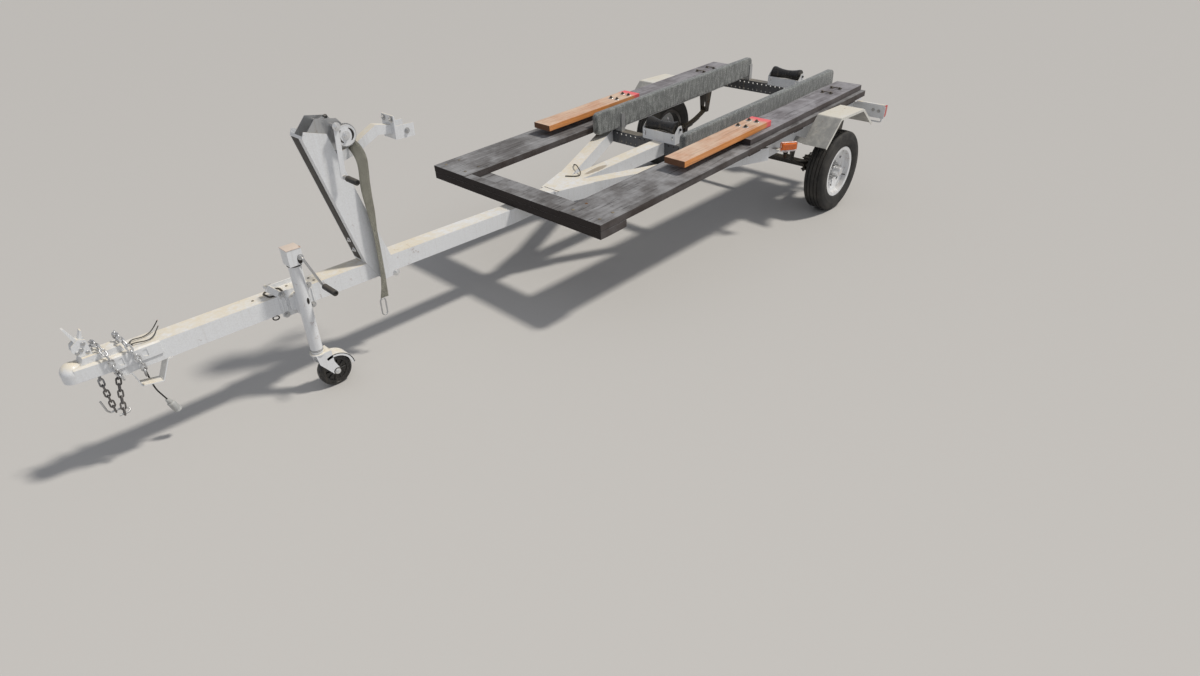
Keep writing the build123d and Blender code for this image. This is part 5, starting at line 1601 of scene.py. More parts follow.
@dataclass
class Deck:
    """The timber deck: cross plank, side planks, packers, grey boards and newer boards."""

    half_width: float = 0.662
    front: float = -0.036
    cross_rear: float = -0.224
    strip_rear: float = -0.086
    strip_half: float = 0.375
    plank_rear: float = -2.8
    plank_inner: float = 0.376
    plank_thick: float = 0.039
    board_thick: float = 0.036
    seat: float = 0.0003
    plank_z: float = 0.0396
    board_z: float = 0.0789
    new_z: float = 0.1152
    grey_span: Pair = (-1.37, -2.79)
    grey_sides: Pair = (0.444, 0.632)
    new_span: Pair = (-0.78, -1.65)
    new_sides: Pair = (0.455, 0.595)
    packers: Profile = ((-1.46, 0.12), (-1.98, 0.1), (-2.7, 0.12))
    packer_sides: Pair = (0.525, 0.615)
    bolt_rows: Pair = (-1.45, -1.57)
    bolt_lines: Pair = (0.487, 0.541)
    lags: Profile = ((-0.085, 0.43), (-0.085, 0.61), (-0.18, 0.43), (-0.18, 0.61))
    washer: Ring = (0.004, 0.0185, 0.0, 0.0018)
    hook_rows: Pair = (-2.47, -2.6)
    hook_lines: Pair = (0.5, 0.56)
    hook_bends: tuple[Point, ...] = (
        (-0.012, 0.49, 0.004), (0.0, 0.49, 0.009), (0.0, 0.57, 0.009), (-0.012, 0.57, 0.004),
    )
    hook_bolt: Profile = ((0.011, -0.0004), (0.011, 0.0018), (0.0055, 0.0018), (0.005, 0.013), (0.0038, 0.0145))
    hook_rod: float = 0.0032

    def build(self) -> None:
        """Make each timber node's boards as one piece."""
        half, strip, seat = self.half_width, self.strip_half, self.seat
        top = seat + self.plank_thick
        inner, outer = self.packer_sides
        cross = [
            Plank(self.front, self.cross_rear, -half, half, seat, top, 1.0),
            Plank(self.front, self.strip_rear, -strip, strip, top, top + self.board_thick, 2.0),
        ]
        span, edges = (self.front, self.plank_rear), (self.plank_inner, half)
        sides = self.mirrored(span, edges, self.plank_z, self.plank_thick, 3.0)
        packers = [
            Plank(mid + long / 2, mid - long / 2, sign * inner, sign * outer, seat, top, 5.0 + mid)
            for mid, long in self.packers for sign in SIDES
        ]
        grey = self.mirrored(self.grey_span, self.grey_sides, self.board_z, self.board_thick, 7.0)
        new = self.mirrored(self.new_span, self.new_sides, self.new_z, self.board_thick, 9.0)
        self.lay("cross_plank_sawn", "cross_plank", cross, Palette.dark_timber, "dark_timber")
        self.lay("side_planks_sawn", "side_planks", sides, Palette.dark_timber, "dark_timber")
        self.lay("packers_sawn", "packers", packers, Palette.dark_timber, "dark_timber")
        self.lay("grey_boards_sawn", "grey_boards", grey, Palette.grey_timber, "grey_timber")
        self.lay("new_boards_sawn", "new_boards", new, Palette.new_timber, "new_timber")
        self.on_planks(self.plank_z + self.plank_thick)
        self.on_boards(self.board_z + self.board_thick)

    def mirrored(self, span: Pair, sides: Pair, low: float, thick: float, seed: float) -> list[Plank]:
        """One board on each side, from its front and rear, its inner and outer edge and its underside."""
        return [Plank(*span, sign * sides[0], sign * sides[1], low, low + thick, seed + sign) for sign in SIDES]

    def lay(self, name: str, node: str, boards: Sequence[Plank], finish: Finish, slot: str) -> None:
        """Join boards into one piece that replaces a CAD node.

        Args:
            name: Name of the piece.
            node: The CAD node it replaces.
            boards: The boards.
            finish: Their finish.
            slot: Not used.
        """
        shape = bmesh.new()
        for board in boards:
            board.add(shape)
        piece = show(name, shape, finish, smooth_under=15.0)
        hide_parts(node)

    def on_planks(self, plank_top: float) -> None:
        """Bolts with washers on the newer boards, and lag heads on the cross plank.

        Args:
            plank_top: Height of the side planks' top above the frame's top.
        """
        spots = [
            rear_point(ahead, sign * left, self.new_z + self.board_thick - 0.0002)
            for sign in SIDES for ahead in self.bolt_rows for left in self.bolt_lines
        ]
        shape = bmesh.new()
        for spot in spots:
            add_washer(shape, axis_matrix(spot, PITCHED_UP), *self.washer)
        show("board_washers", shape, Palette.bright_zinc)
        heads = [Place(spot + PITCHED_UP * 0.0016, PITCHED_UP) for spot in spots]
        bolts("board_bolts", heads, Palette.dark_steel, "frame", head=0.0085, height=0.0075)
        lags = [
            Place(rear_point(ahead, sign * left, plank_top - 0.0002), PITCHED_UP)
            for sign in SIDES for ahead, left in self.lags
        ]
        repeated("plank_heads", Repeat.ROUND_HEAD, lags, Palette.dark_steel, Head_Radius=0.009, Head_Height=0.0028)

    def on_boards(self, board_top: float) -> None:
        """Hooked bolts that hold down the grey boards.

        Args:
            board_top: Height of the grey boards' top above the frame's top.
        """
        shape = bmesh.new()
        for sign in SIDES:
            for ahead in self.hook_rows:
                for left in self.hook_lines:
                    foot = rear_point(ahead, sign * left, board_top)
                    add_turned(shape, axis_matrix(foot, PITCHED_UP), self.hook_bolt, 16)
                corners = [rear_point(ahead + x, sign * left, board_top + lift) for x, left, lift in self.hook_bends]
                add_tube(shape, rounded_path(corners, 0.01), self.hook_rod, 8)
        show("hold_down_bolts", shape, Palette.dark_steel)


@dataclass
class Bunk:
    """A plank on edge wrapped in carpet that is drawn round its ends."""

    sign: int
    middle: float = 0.349
    thick: float = 0.046
    front: float = -1.08
    rear: float = -2.88
    low: float = 0.028
    high: float = 0.168
    corner: float = 0.03
    corner_steps: int = 6
    long_steps: int = 60
    end_steps: int = 6
    round_over: float = 0.007
    lump: float = 0.0009

    def outline(self) -> list[Pair]:
        """Points round the bunk's side view: metres ahead of the bend and above the frame's top.

        Returns:
            The points, in order.
        """
        r = self.corner
        front, rear, low, high = self.front - r, self.rear + r, self.low + r, self.high - r
        middles = ((front, high), (rear, high), (rear, low), (front, low))
        points: list[Pair] = []
        for number, (x, z) in enumerate(middles):
            for step in range(self.corner_steps + 1):
                angle = math.radians(90 * (number + step / self.corner_steps))
                points.append((x + r * math.cos(angle), z + r * math.sin(angle)))
            from_x, from_z = points[-1]
            to_x, to_z = middles[(number + 1) % len(middles)]
            long_side = number % 2 == 0
            steps = self.long_steps if long_side else self.end_steps
            for step in range(1, steps):
                share = step / steps
                x, z = from_x + (to_x - from_x) * share, from_z + (to_z - from_z) * share
                points.append((x, from_z) if long_side else (from_x, z))
        return points

    def add(self, shape: Shape) -> None:
        """Add the wrapped bunk to a bmesh.

        Args:
            shape: The bmesh to add to.
        """
        half, r = self.thick / 2, self.round_over
        edge = ((r * 2.2, half), (r, half - 0.0002), (r * 0.35, half - r * 0.3), (0.0, half - r))
        layers = [(inset, -y) for inset, y in edge] + list(reversed(edge))
        middle_z, half_z = (self.low + self.high) / 2, (self.high - self.low) / 2
        tail, head = self.rear + self.corner, self.front - self.corner
        points = self.outline()
        rings = []
        for inset, y in layers:
            ring = []
            for ahead, up in points:
                z = middle_z + (up - middle_z) * (1.0 - inset / half_z)
                drawn = inset if ahead < tail else -inset if ahead > head else 0.0
                lump = self.lump * noise(Vector((ahead * 14.0, up * 20.0, self.sign * 3.0 + y * 30.0)))
                across = self.sign * self.middle + y * (1 - abs(lump) * 12)
                ring.append(rear_point(ahead + drawn, across, z - abs(lump)))
            rings.append(ring)
        add_rings(shape, rings)


def build_bunks() -> None:
    """Wrap both bunks as one piece, and replace their CAD node."""
    shape = bmesh.new()
    for sign in SIDES:
        Bunk(sign).add(shape)
    piece = show("bunks_carpeted", shape, Palette.carpet, smooth_under=60.0)
    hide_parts("bunks")


# Nose


@dataclass
class SafetyChains:
    """Two welded chains, wrapped over the coupler and left to hang from a hook."""

    pitch: float = 0.024
    half_length: float = 0.0151
    half_width: float = 0.0077
    wire: float = 0.0031
    lean: Point = (1.0, 0.0, 0.35)
    runs: tuple[tuple[tuple[int, int, int], ...], ...] = (
        # corners of each run: ahead of the bend, to the left, above the ground, in millimetres
        (
            (1886, 52, 381), (1898, 62, 420), (1903, 62, 482), (1907, 59, 500), (1911, 48, 515), (1915, 28, 523),
            (1918, 0, 525), (1918, -28, 523), (1918, -48, 515), (1921, -59, 500), (1924, -62, 482), (1930, -62, 430),
            (1936, -50, 402), (1946, -12, 385), (1948, 0, 360), (1945, 0, 212),
        ),
        (
            (1817, 56, 364), (1814, 63, 420), (1831, 63, 482), (1835, 60, 500), (1840, 49, 516), (1844, 28, 526),
            (1845, 0, 529), (1844, -28, 526), (1842, -49, 516), (1840, -60, 500), (1840, -63, 482), (1846, -63, 430),
            (1868, -64, 388), (1888, -32, 358), (1903, 0, 330), (1920, 19, 256), (1927, 19, 215),
        ),
    )

    def joints(self, corners: Sequence[Vector]) -> list[Vector]:
        """Points one pitch apart, in a straight line, along a run of straight legs.

        Args:
            corners: Ends and corners of the legs.

        Returns:
            The points, the first at the first corner.
        """
        found = [corners[0]]
        leg, along = 0, 0.0
        while leg < len(corners) - 1:
            start = corners[leg]
            run = corners[leg + 1] - start
            length = run.length
            run = run / length
            gap = start - found[-1]
            half_b = gap.dot(run)
            root = half_b * half_b - gap.dot(gap) + self.pitch * self.pitch
            reach = -half_b + math.sqrt(root) if root > 0 else -1.0
            if along < reach <= length:
                found.append(start + run * reach)
                along = reach
            else:
                leg, along = leg + 1, 0.0
        if len(found) % 2:
            found.pop()
        return found

    def build(self) -> None:
        """Put a link between each two joints, flat and on edge in turn."""
        places = []
        for run in self.runs:
            points = self.joints([tongue_point(x / 1000, y / 1000, z / 1000) for x, y, z in run])
            for number, (near, far) in enumerate(zip(points, points[1:])):
                along = (far - near).normalized()
                across = along.cross(Vector(self.lean)).normalized()
                places.append(Place((near + far) / 2, across if number % 2 else along.cross(across), along))
        sizes = {"Half_Length": self.half_length, "Half_Width": self.half_width, "Wire_Radius": self.wire}
        piece = repeated(
            "safety_chain_links", Repeat.LINK, places, Palette.chain_zinc, "zinc", smooth=True, **sizes
        )
        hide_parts("safety_chains")


# Hardware


@dataclass
class JackDressing:
    """The jack's bent crank and grip, its lid and collar, and its clamp's hardware."""

    axis: Pair = (1.2, 0.112)
    pivot: Pair = (1.18, 0.65)
    grip_at: Pair = (1.125, 0.506)
    head_face: float = 0.142
    rod_out: float = 0.1575
    rod: float = 0.0052
    rod_bend: float = 0.009
    grip_from: float = 0.1723
    grip_length: float = 0.09
    ferrule: Profile = ((0.0062, 0.0), (0.0088, 0.0012), (0.0088, 0.0069), (0.005, 0.0069))
    boss: Profile = ((0.0125, 0.0), (0.0125, 0.0025), (0.0098, 0.0036), (0.0098, 0.0068), (0.0082, 0.0078))
    lid_height: float = 0.6903
    lid_size: Point = (0.063, 0.063, 0.0036)
    collars: tuple[Ring, ...] = (
        # inner and outer radius, low and high edge above the ground
        (0.0255, 0.0298, 0.6135, 0.6212), (0.0255, 0.0266, 0.203, 0.2052), (0.0255, 0.0266, 0.2085, 0.2107),
    )
    slot: Ring = (0.004, -0.0012, -0.008, 0.015)
    slot_shape: Ring = (0.7, 1.35, 1.0, 1.0)
    pin_toward: Point = (-0.3, 0.95, 0.0)
    pin_height: float = 0.452
    pin_out: float = 0.0245
    pin_hole_shade: Profile = ((0.0145, 0.0), (0.0145, 0.0021))
    pin_shape: Ring = (0.42, 1.0, 1.0, 1.0)
    clamp_face: float = 0.0503
    clamp_grid: Pair = (0.059, 0.048)
    clamp_height: float = 0.43
    ribs_ahead: Point = (1.2505, 1.2675, 1.1325)
    rib_lifts: Ring = (-0.031, -0.028, 0.028, 0.031)
    pull_loop: Profile = ((1.262, -0.036), (1.236, -0.02), (1.24, 0.026), (1.3, 0.03), (1.307, -0.02), (1.281, -0.036))
    eye: Point = (1.303, 0.0415, 0.3805)
    eye_half: Pair = (0.0125, 0.0095)
    tongue_heads: Profile = ((1.204, -0.023), (1.105, -0.022), (1.098, 0.014), (1.36, 0.0))

    def build(self) -> None:
        """Make every piece of the jack."""
        self.crank()
        self.head()
        self.clamp()
        self.on_tongue()

    def crank(self) -> None:
        """A round rod bent out of the head's side and down to a ribbed grip."""
        (top_x, top_z), (low_x, low_z) = self.pivot, self.grip_at
        bends = (
            (top_x, self.head_face - 0.003, top_z), (top_x, self.rod_out, top_z),
            (low_x, self.rod_out, low_z), (low_x, self.grip_from - 0.0004, low_z),
        )
        shape = bmesh.new()
        add_tube(shape, rounded_path([tongue_point(*bend) for bend in bends], self.rod_bend), self.rod, 14)
        add_turned(shape, axis_matrix(tongue_point(low_x, self.grip_from - 0.0072, low_z), LEFT), self.ferrule, 24)
        add_turned(shape, axis_matrix(tongue_point(top_x, self.head_face - 0.0005, top_z), LEFT), self.boss, 28)
        rod = show("jack_crank_rod", shape, Palette.zinc, "jack")
        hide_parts("jack_crank")
        shape = bmesh.new()
        add_grip(shape, axis_matrix(tongue_point(low_x, self.grip_from, low_z), LEFT), self.grip_length, 9)
        grip = show("jack_grip_ribbed", shape, Palette.black_plastic, "jack", smooth_under=50.0)
        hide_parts("jack_grip")

    def head(self) -> None:
        """The head's pressed lid, the dark collars and slot, and a black disc of painted shade for the tube's oval pin
        hole.
        """
        x, y = self.axis
        shape = bmesh.new()
        add_block(shape, Matrix.Translation(tongue_point(x, y, self.lid_height)), self.lid_size, 0.0014, 2)
        show("jack_lid", shape, Palette.lid_paint, body="jack")
        shape = bmesh.new()
        for collar in self.collars:
            add_washer(shape, Matrix.Translation(tongue_point(x, y, 0.0)), *collar)
        ahead, out, up, radius = self.slot
        slot = axis_matrix(tongue_point(self.pivot[0] + ahead, self.head_face + out, self.pivot[1] + up), LEFT)
        add_turned(shape, slot @ Matrix.Diagonal(self.slot_shape), ((radius, 0.0), (radius, 0.00145)), 28)
        # The pin hole is a black disc: painted shade for the dark inside of the hole.
        toward = Vector(self.pin_toward).normalized()
        hole = axis_matrix(tongue_point(x, y, self.pin_height) + toward * self.pin_out, toward)
        add_turned(shape, hole @ Matrix.Diagonal(self.pin_shape), self.pin_hole_shade, 28)
        show("jack_collars_and_pin_hole_shade", shape, Palette.black_steel, body="jack")

    def clamp(self) -> None:
        """Nuts and pressed ribs on both clamp plates."""
        wide, tall = self.clamp_grid
        bolts("jack_clamp_nuts", [
            Place(tongue_point(self.axis[0] + dx, sign * self.clamp_face, self.clamp_height + dz), LEFT * sign)
            for sign in SIDES for dx in (-wide, wide) for dz in (-tall, tall)
        ], Palette.zinc, "frame", head=0.0088, height=0.0068)
        shape = bmesh.new()
        for sign in SIDES:
            for ahead in self.ribs_ahead:
                middle = tongue_point(ahead, sign * (self.clamp_face + 0.0006), self.clamp_height)
                add_tube(shape, [middle + UP * lift for lift in self.rib_lifts], 0.0034, 10)
        show("jack_clamp_ribs", shape, Palette.white_paint)

    def on_tongue(self) -> None:
        """A black pull loop lying on the tongue, a link eye hanging under it, and small heads."""
        shape = bmesh.new()
        corners = [tongue_point(ahead, left, TONGUE_TOP + 0.0034) for ahead, left in self.pull_loop]
        add_tube(shape, rounded_path(corners, 0.012), 0.0036, 10)
        ring = axis_matrix(tongue_point(*self.eye), Vector((0.25, 1.0, 0.0)))
        half_x, half_y = self.eye_half
        angles = [math.radians(12 * step) for step in range(31)]
        add_tube(shape, [ring @ Vector((half_x * math.cos(a), half_y * math.sin(a), 0.0)) for a in angles], 0.0028, 8)
        show("tongue_loops", shape, Palette.black_steel)
        heads = [Place(tongue_point(ahead, left, TONGUE_TOP - 0.0002), UP) for ahead, left in self.tongue_heads]
        repeated("tongue_heads", Repeat.ROUND_HEAD, heads, Palette.dark_steel, Head_Radius=0.0058, Head_Height=0.003)


@dataclass
class CasterDressing:
    """The jack's moulded wheel, its guard's lips and its axle nuts."""

    hub: Point = (1.145, 0.112, 0.076)
    fork_half: float = 0.03
    spokes: int = 10
    spoke_at: Pair = (0.0325, 0.0136)
    spoke_size: Point = (0.034, 0.003, 0.0056)
    lip_in: float = 0.0748
    lip_out: float = 0.0878
    lip_thick: float = 0.0036
    lip_arc: tuple[int, int] = (66, 108)
    washer: Ring = (0.0058, 0.0172, 0.0, 0.0016)
    half: Profile = (
        # radius and half width, from the bore to the tread
        (0.0068, 0.02), (0.0145, 0.02), (0.0156, 0.0186), (0.0168, 0.0132), (0.046, 0.0112), (0.0486, 0.0125),
        (0.05, 0.0162), (0.0522, 0.0168), (0.0625, 0.0172), (0.0638, 0.0195), (0.0702, 0.0192), (0.0742, 0.0165),
        (0.0757, 0.011), (0.076, 0.004),
    )

    def build(self) -> None:
        """Make the wheel, the lips and the nuts."""
        middle = tongue_point(*self.hub)
        place = axis_matrix(middle, LEFT)
        shape = bmesh.new()
        add_lathe(shape, place, [*self.half, *((radius, -wide) for radius, wide in reversed(self.half))], 64)
        for face in SIDES:
            for turn in around(place, self.spokes, (self.spoke_at[0], 0.0, face * self.spoke_at[1])):
                add_block(shape, turn, self.spoke_size, 0.0007)
        wheel = show("caster_wheel_moulded", shape, Palette.rubber, "jack_wheel")
        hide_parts("caster_wheel")
        self.lips(middle)
        shape = bmesh.new()
        for sign in SIDES:
            seat = middle + LEFT * sign * (self.fork_half - 0.0003)
            add_washer(shape, axis_matrix(seat, LEFT * sign), *self.washer)
        show("caster_axle_washers", shape, Palette.black_steel, body="jack_fork")
        nuts = [Place(middle + LEFT * sign * (self.fork_half + 0.0012), LEFT * sign) for sign in SIDES]
        bolts("caster_axle_nuts", nuts, Palette.bright_zinc, "jack_fork", head=0.0088, height=0.006)

    def lips(self, middle: Vector) -> None:
        """Turned-down lips along both edges of the wheel's guard.

        Args:
            middle: The wheel's middle.
        """
        shape = bmesh.new()
        start, sweep = self.lip_arc
        inner = self.fork_half - self.lip_thick
        for near, far in ((inner, self.fork_half), (-self.fork_half, -inner)):
            corners = ((self.lip_in, near), (self.lip_out, near), (self.lip_out, far), (self.lip_in, far))
            outs = [spoke(math.radians(start + sweep * step / 30)) for step in range(31)]
            add_rings(shape, [[middle + out * radius + LEFT * side for radius, side in corners] for out in outs])
        show("caster_guard_lips", shape, Palette.white_paint, "jack_fork")


@dataclass
class WinchDressing:
    """The winch's teeth, wound strap, pawl and grip, and a dark strip of painted shade down its post."""

    gear: Pair = (0.848, 1.054)
    gear_radius: float = 0.044
    gear_face: float = 0.072
    teeth: int = 40
    tooth_height: float = 0.0048
    tooth_width: float = 0.0032
    gear_width: float = 0.0078
    slot_starts: tuple[int, ...] = (120, 300)
    slot_sweep: int = 110
    slot_steps: int = 12
    slot_circle: float = 0.031
    slot_half: float = 0.0048
    slot_lifts: Pair = (0.0042, 0.0054)
    cover: Ring = (0.004, 0.0385, 0.0, 0.0009)
    cover_ring: Profile = ((0.0386, -0.0004), (0.0425, -0.0004), (0.0425, 0.0012), (0.0386, 0.0012))
    drum: Pair = (0.862, 1.04)
    wound_radius: float = 0.0318
    wound_half: float = 0.0255
    wound_layers: int = 8
    wound_edge: Pair = (0.03, 0.0262)
    flange: Ring = (0.0292, 0.0368, 0.0282, 0.0302)
    grip_at: Pair = (0.9, 0.896)
    grip_from: float = 0.1163
    grip_length: float = 0.073
    ferrule: Profile = ((0.0085, 0.0), (0.0105, 0.001), (0.0105, 0.019), (0.0112, 0.0195), (0.0112, 0.0235))
    nuts: tuple[Point, ...] = (
        # ahead, left and height: the gear, both ends of the crank's shaft, the drum, and the post's foot
        (0.848, 0.0724, 1.054), (0.888, 0.0841, 1.1), (0.888, -0.0419, 1.1), (0.862, -0.0419, 1.04),
        (0.722, 0.0499, 0.38), (0.722, -0.0499, 0.38),
    )
    pawl_rod: Point = (0.918, 0.0, 1.112)
    pawl_run: Point = (-0.97, 0.0, 0.22)
    pawl_half: float = 0.0455
    pawl_size: Point = (0.05, 0.014, 0.006)
    coils: int = 5
    coil_step: float = 0.004
    coil: Ring = (0.004, 0.0072, 0.0, 0.0024)
    knob: Profile = ((0.0062, 0.0), (0.0085, 0.002), (0.0085, 0.013), (0.0066, 0.0165))
    web_low: Pair = (0.862, 0.478)
    web_high: Pair = (1.022, 1.07)
    strip_left: float = -0.011
    strip_bolts: Pair = (0.536, 0.588)

    def build(self) -> None:
        """Make every piece of the winch and its post."""
        self.gear_wheel()
        self.wound_strap()
        self.handle()
        self.pawl()
        self.post_shade_strip()

    def side_place(self, spot: Pair, left: float, sign: int = 1) -> Matrix:
        """Matrix at a place beside the winch, its Z out to that side."""
        return axis_matrix(tongue_point(spot[0], left, spot[1]), LEFT * sign)

    def gear_wheel(self) -> None:
        """Teeth round the big gear, curved black strips of painted shade for the open slots in its face, and nuts on
        the shafts.
        """
        middle = tongue_point(self.gear[0], self.gear_face - 0.004, self.gear[1])
        outs = [spoke(2 * math.pi * step / self.teeth) for step in range(self.teeth)]
        places = [Place(middle + out * (self.gear_radius + 0.0012), out, LEFT) for out in outs]
        sizes = {"Tooth_Height": self.tooth_height, "Tooth_Width": self.tooth_width, "Gear_Width": self.gear_width}
        repeated("winch_teeth", Repeat.TOOTH, places, Palette.zinc, "zinc", **sizes)
        low, high = self.slot_lifts
        # Black strips on the gear's face: painted shade for the dark inside of its open slots.
        shape = bmesh.new()
        for start in self.slot_starts:
            rings = []
            for step in range(self.slot_steps + 1):
                share = step / self.slot_steps
                out = spoke(math.radians(start + self.slot_sweep * share))
                wide = self.slot_half * math.sin(math.pi * (0.08 + 0.84 * share))
                corners = ((-wide, low), (wide, low), (wide, high), (-wide, high))
                rings.append([middle + out * (self.slot_circle + side) + LEFT * lift for side, lift in corners])
            add_rings(shape, rings)
        show("winch_gear_slot_shade", shape, Palette.black_steel)
        shape = bmesh.new()
        add_washer(shape, self.side_place(self.gear, self.gear_face - 0.0004), *self.cover)
        add_lathe(shape, self.side_place(self.gear, self.gear_face), self.cover_ring)
        show("winch_gear_cover", shape, Palette.white_paint)
        nuts = [Place(tongue_point(*nut), LEFT if nut[1] > 0 else -LEFT) for nut in self.nuts]
        bolts("winch_nuts", nuts, Palette.bright_zinc, "frame", head=0.0112, height=0.0075)

    def wound_strap(self) -> None:
        """The turns of strap on the drum, between two thin flanges."""
        place = self.side_place(self.drum, 0.0)
        shape = bmesh.new()
        uv = shape.loops.layers.uv.new("weave")
        (edge, out), half = self.wound_edge, self.wound_half
        turns = [
            (self.wound_radius + 0.0006 * math.sin(step * 2.3), half * (2 * step / self.wound_layers - 1))
            for step in range(self.wound_layers + 1)
        ]
        add_turned(shape, place, [(edge, -out), *turns, (edge, out)], 48)
        back = place.inverted()
        for face in shape.faces:
            for loop in face.loops:
                spot = back @ loop.vert.co
                loop[uv].uv = (spot.z, 0.032 * math.atan2(spot.y, spot.x))
        show("winch_wound_strap", shape, Palette.webbing, smooth_under=60.0)
        shape = bmesh.new()
        for sign in SIDES:
            add_washer(shape, self.side_place(self.drum, 0.0, sign), *self.flange)
        show("winch_flanges", shape, Palette.zinc)

    def handle(self) -> None:
        """The crank's bright ferrule and ribbed grip."""
        shape = bmesh.new()
        add_turned(shape, self.side_place(self.grip_at, 0.0938), self.ferrule, 24)
        show("winch_ferrule", shape, Palette.zinc)
        shape = bmesh.new()
        add_grip(shape, self.side_place(self.grip_at, self.grip_from), self.grip_length, 8)
        grip = show("winch_grip_ribbed", shape, Palette.black_plastic, smooth_under=50.0)
        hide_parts("winch_grip")

    def pawl(self) -> None:
        """A spring pawl on a rod between the side frames, with a black finger knob."""
        rod = tongue_point(*self.pawl_rod)
        run = Vector(self.pawl_run).normalized()
        inboard = LEFT * 0.012
        shape = bmesh.new()
        add_tube(shape, [rod - LEFT * self.pawl_half, rod, rod + LEFT * self.pawl_half], 0.0042)
        turn = Matrix((run, LEFT, run.cross(LEFT))).transposed().to_4x4()
        add_block(shape, Matrix.Translation(rod + run * 0.016 - inboard) @ turn, self.pawl_size, 0.0015, 2)
        for step in range(self.coils):
            add_washer(shape, axis_matrix(rod + LEFT * self.coil_step * (step + 1), LEFT), *self.coil)
        show("winch_pawl", shape, Palette.zinc)
        shape = bmesh.new()
        add_turned(shape, axis_matrix(rod + run * 0.032 - inboard, run), self.knob, 20)
        show("winch_pawl_knob", shape, Palette.black_plastic)

    def post_shade_strip(self) -> None:
        """A dark strip up the post's front web, painted shade for a shaded recess, with the two bolts at its foot."""
        (low_x, low_z), (high_x, high_z) = self.web_low, self.web_high
        web = Vector((high_x - low_x, 0.0, high_z - low_z))
        run = web.normalized()
        out = Vector((run.z, 0.0, -run.x))
        middle = tongue_point(low_x, self.strip_left, low_z) + web / 2
        turn = Matrix((-run, LEFT, out)).transposed().to_4x4()
        # The strip is painted shade, standing for the dark recess down the post's front.
        shape = bmesh.new()
        size = (web.length - 0.012, 0.058, 0.002)
        add_block(shape, Matrix.Translation(middle + out * 0.0006 + run * 0.003) @ turn, size, 0.0006)
        show("post_shade_strip", shape, Palette.black_steel)
        slope = web.x / web.z
        places = [
            Place(tongue_point(low_x + slope * (z - low_z), 0.0, z) + out * 0.0015, out) for z in self.strip_bolts
        ]
        bolts("post_strip_bolts", places, Palette.bright_zinc, "frame", head=0.0075, height=0.0055)


@dataclass
class CouplerDressing:
    """The coupler's rivets, its worn lower lip and the weld at its sleeve."""

    cheek: float = 0.017
    rivets: tuple[Point, ...] = ((1.962, 0.53, 0.003), (1.95, 0.55, 0.003), (1.947, 0.512, 0.0), (1.977, 0.5205, 0.0))
    ball: float = 2.012
    lip: float = 0.0363
    lip_root: Pair = (1.9, 0.0476)
    lip_height: float = 0.4226
    sleeve: float = 1.7342
    sleeve_corners: Profile = ((0.0452, 0.424), (0.0452, 0.4712), (-0.0452, 0.4712), (-0.0452, 0.424))

    def build(self) -> None:
        """Make the rivets, the lip and the weld."""
        places = [
            Place(tongue_point(ahead, sign * (self.cheek + out), height), LEFT * sign)
            for sign in SIDES for ahead, height, out in self.rivets
        ]
        sizes = {"Head_Radius": 0.0074, "Head_Height": 0.0026}
        repeated("latch_rivets", Repeat.ROUND_HEAD, places, Palette.zinc, "zinc", smooth=True, **sizes)
        (back, wide), height = self.lip_root, self.lip_height
        angles = [math.radians(84 - 168 * step / 16) for step in range(17)]
        nose = [tongue_point(self.ball + self.lip * math.cos(a), self.lip * math.sin(a), height) for a in angles]
        shape = bmesh.new()
        add_tube(shape, [tongue_point(back, wide, height), *nose, tongue_point(back, -wide, height)], 0.0017, 8)
        show("coupler_lip", shape, Palette.bright_zinc)
        weld("coupler_weld", 0.0024, [tongue_point(self.sleeve, left, up) for left, up in self.sleeve_corners])


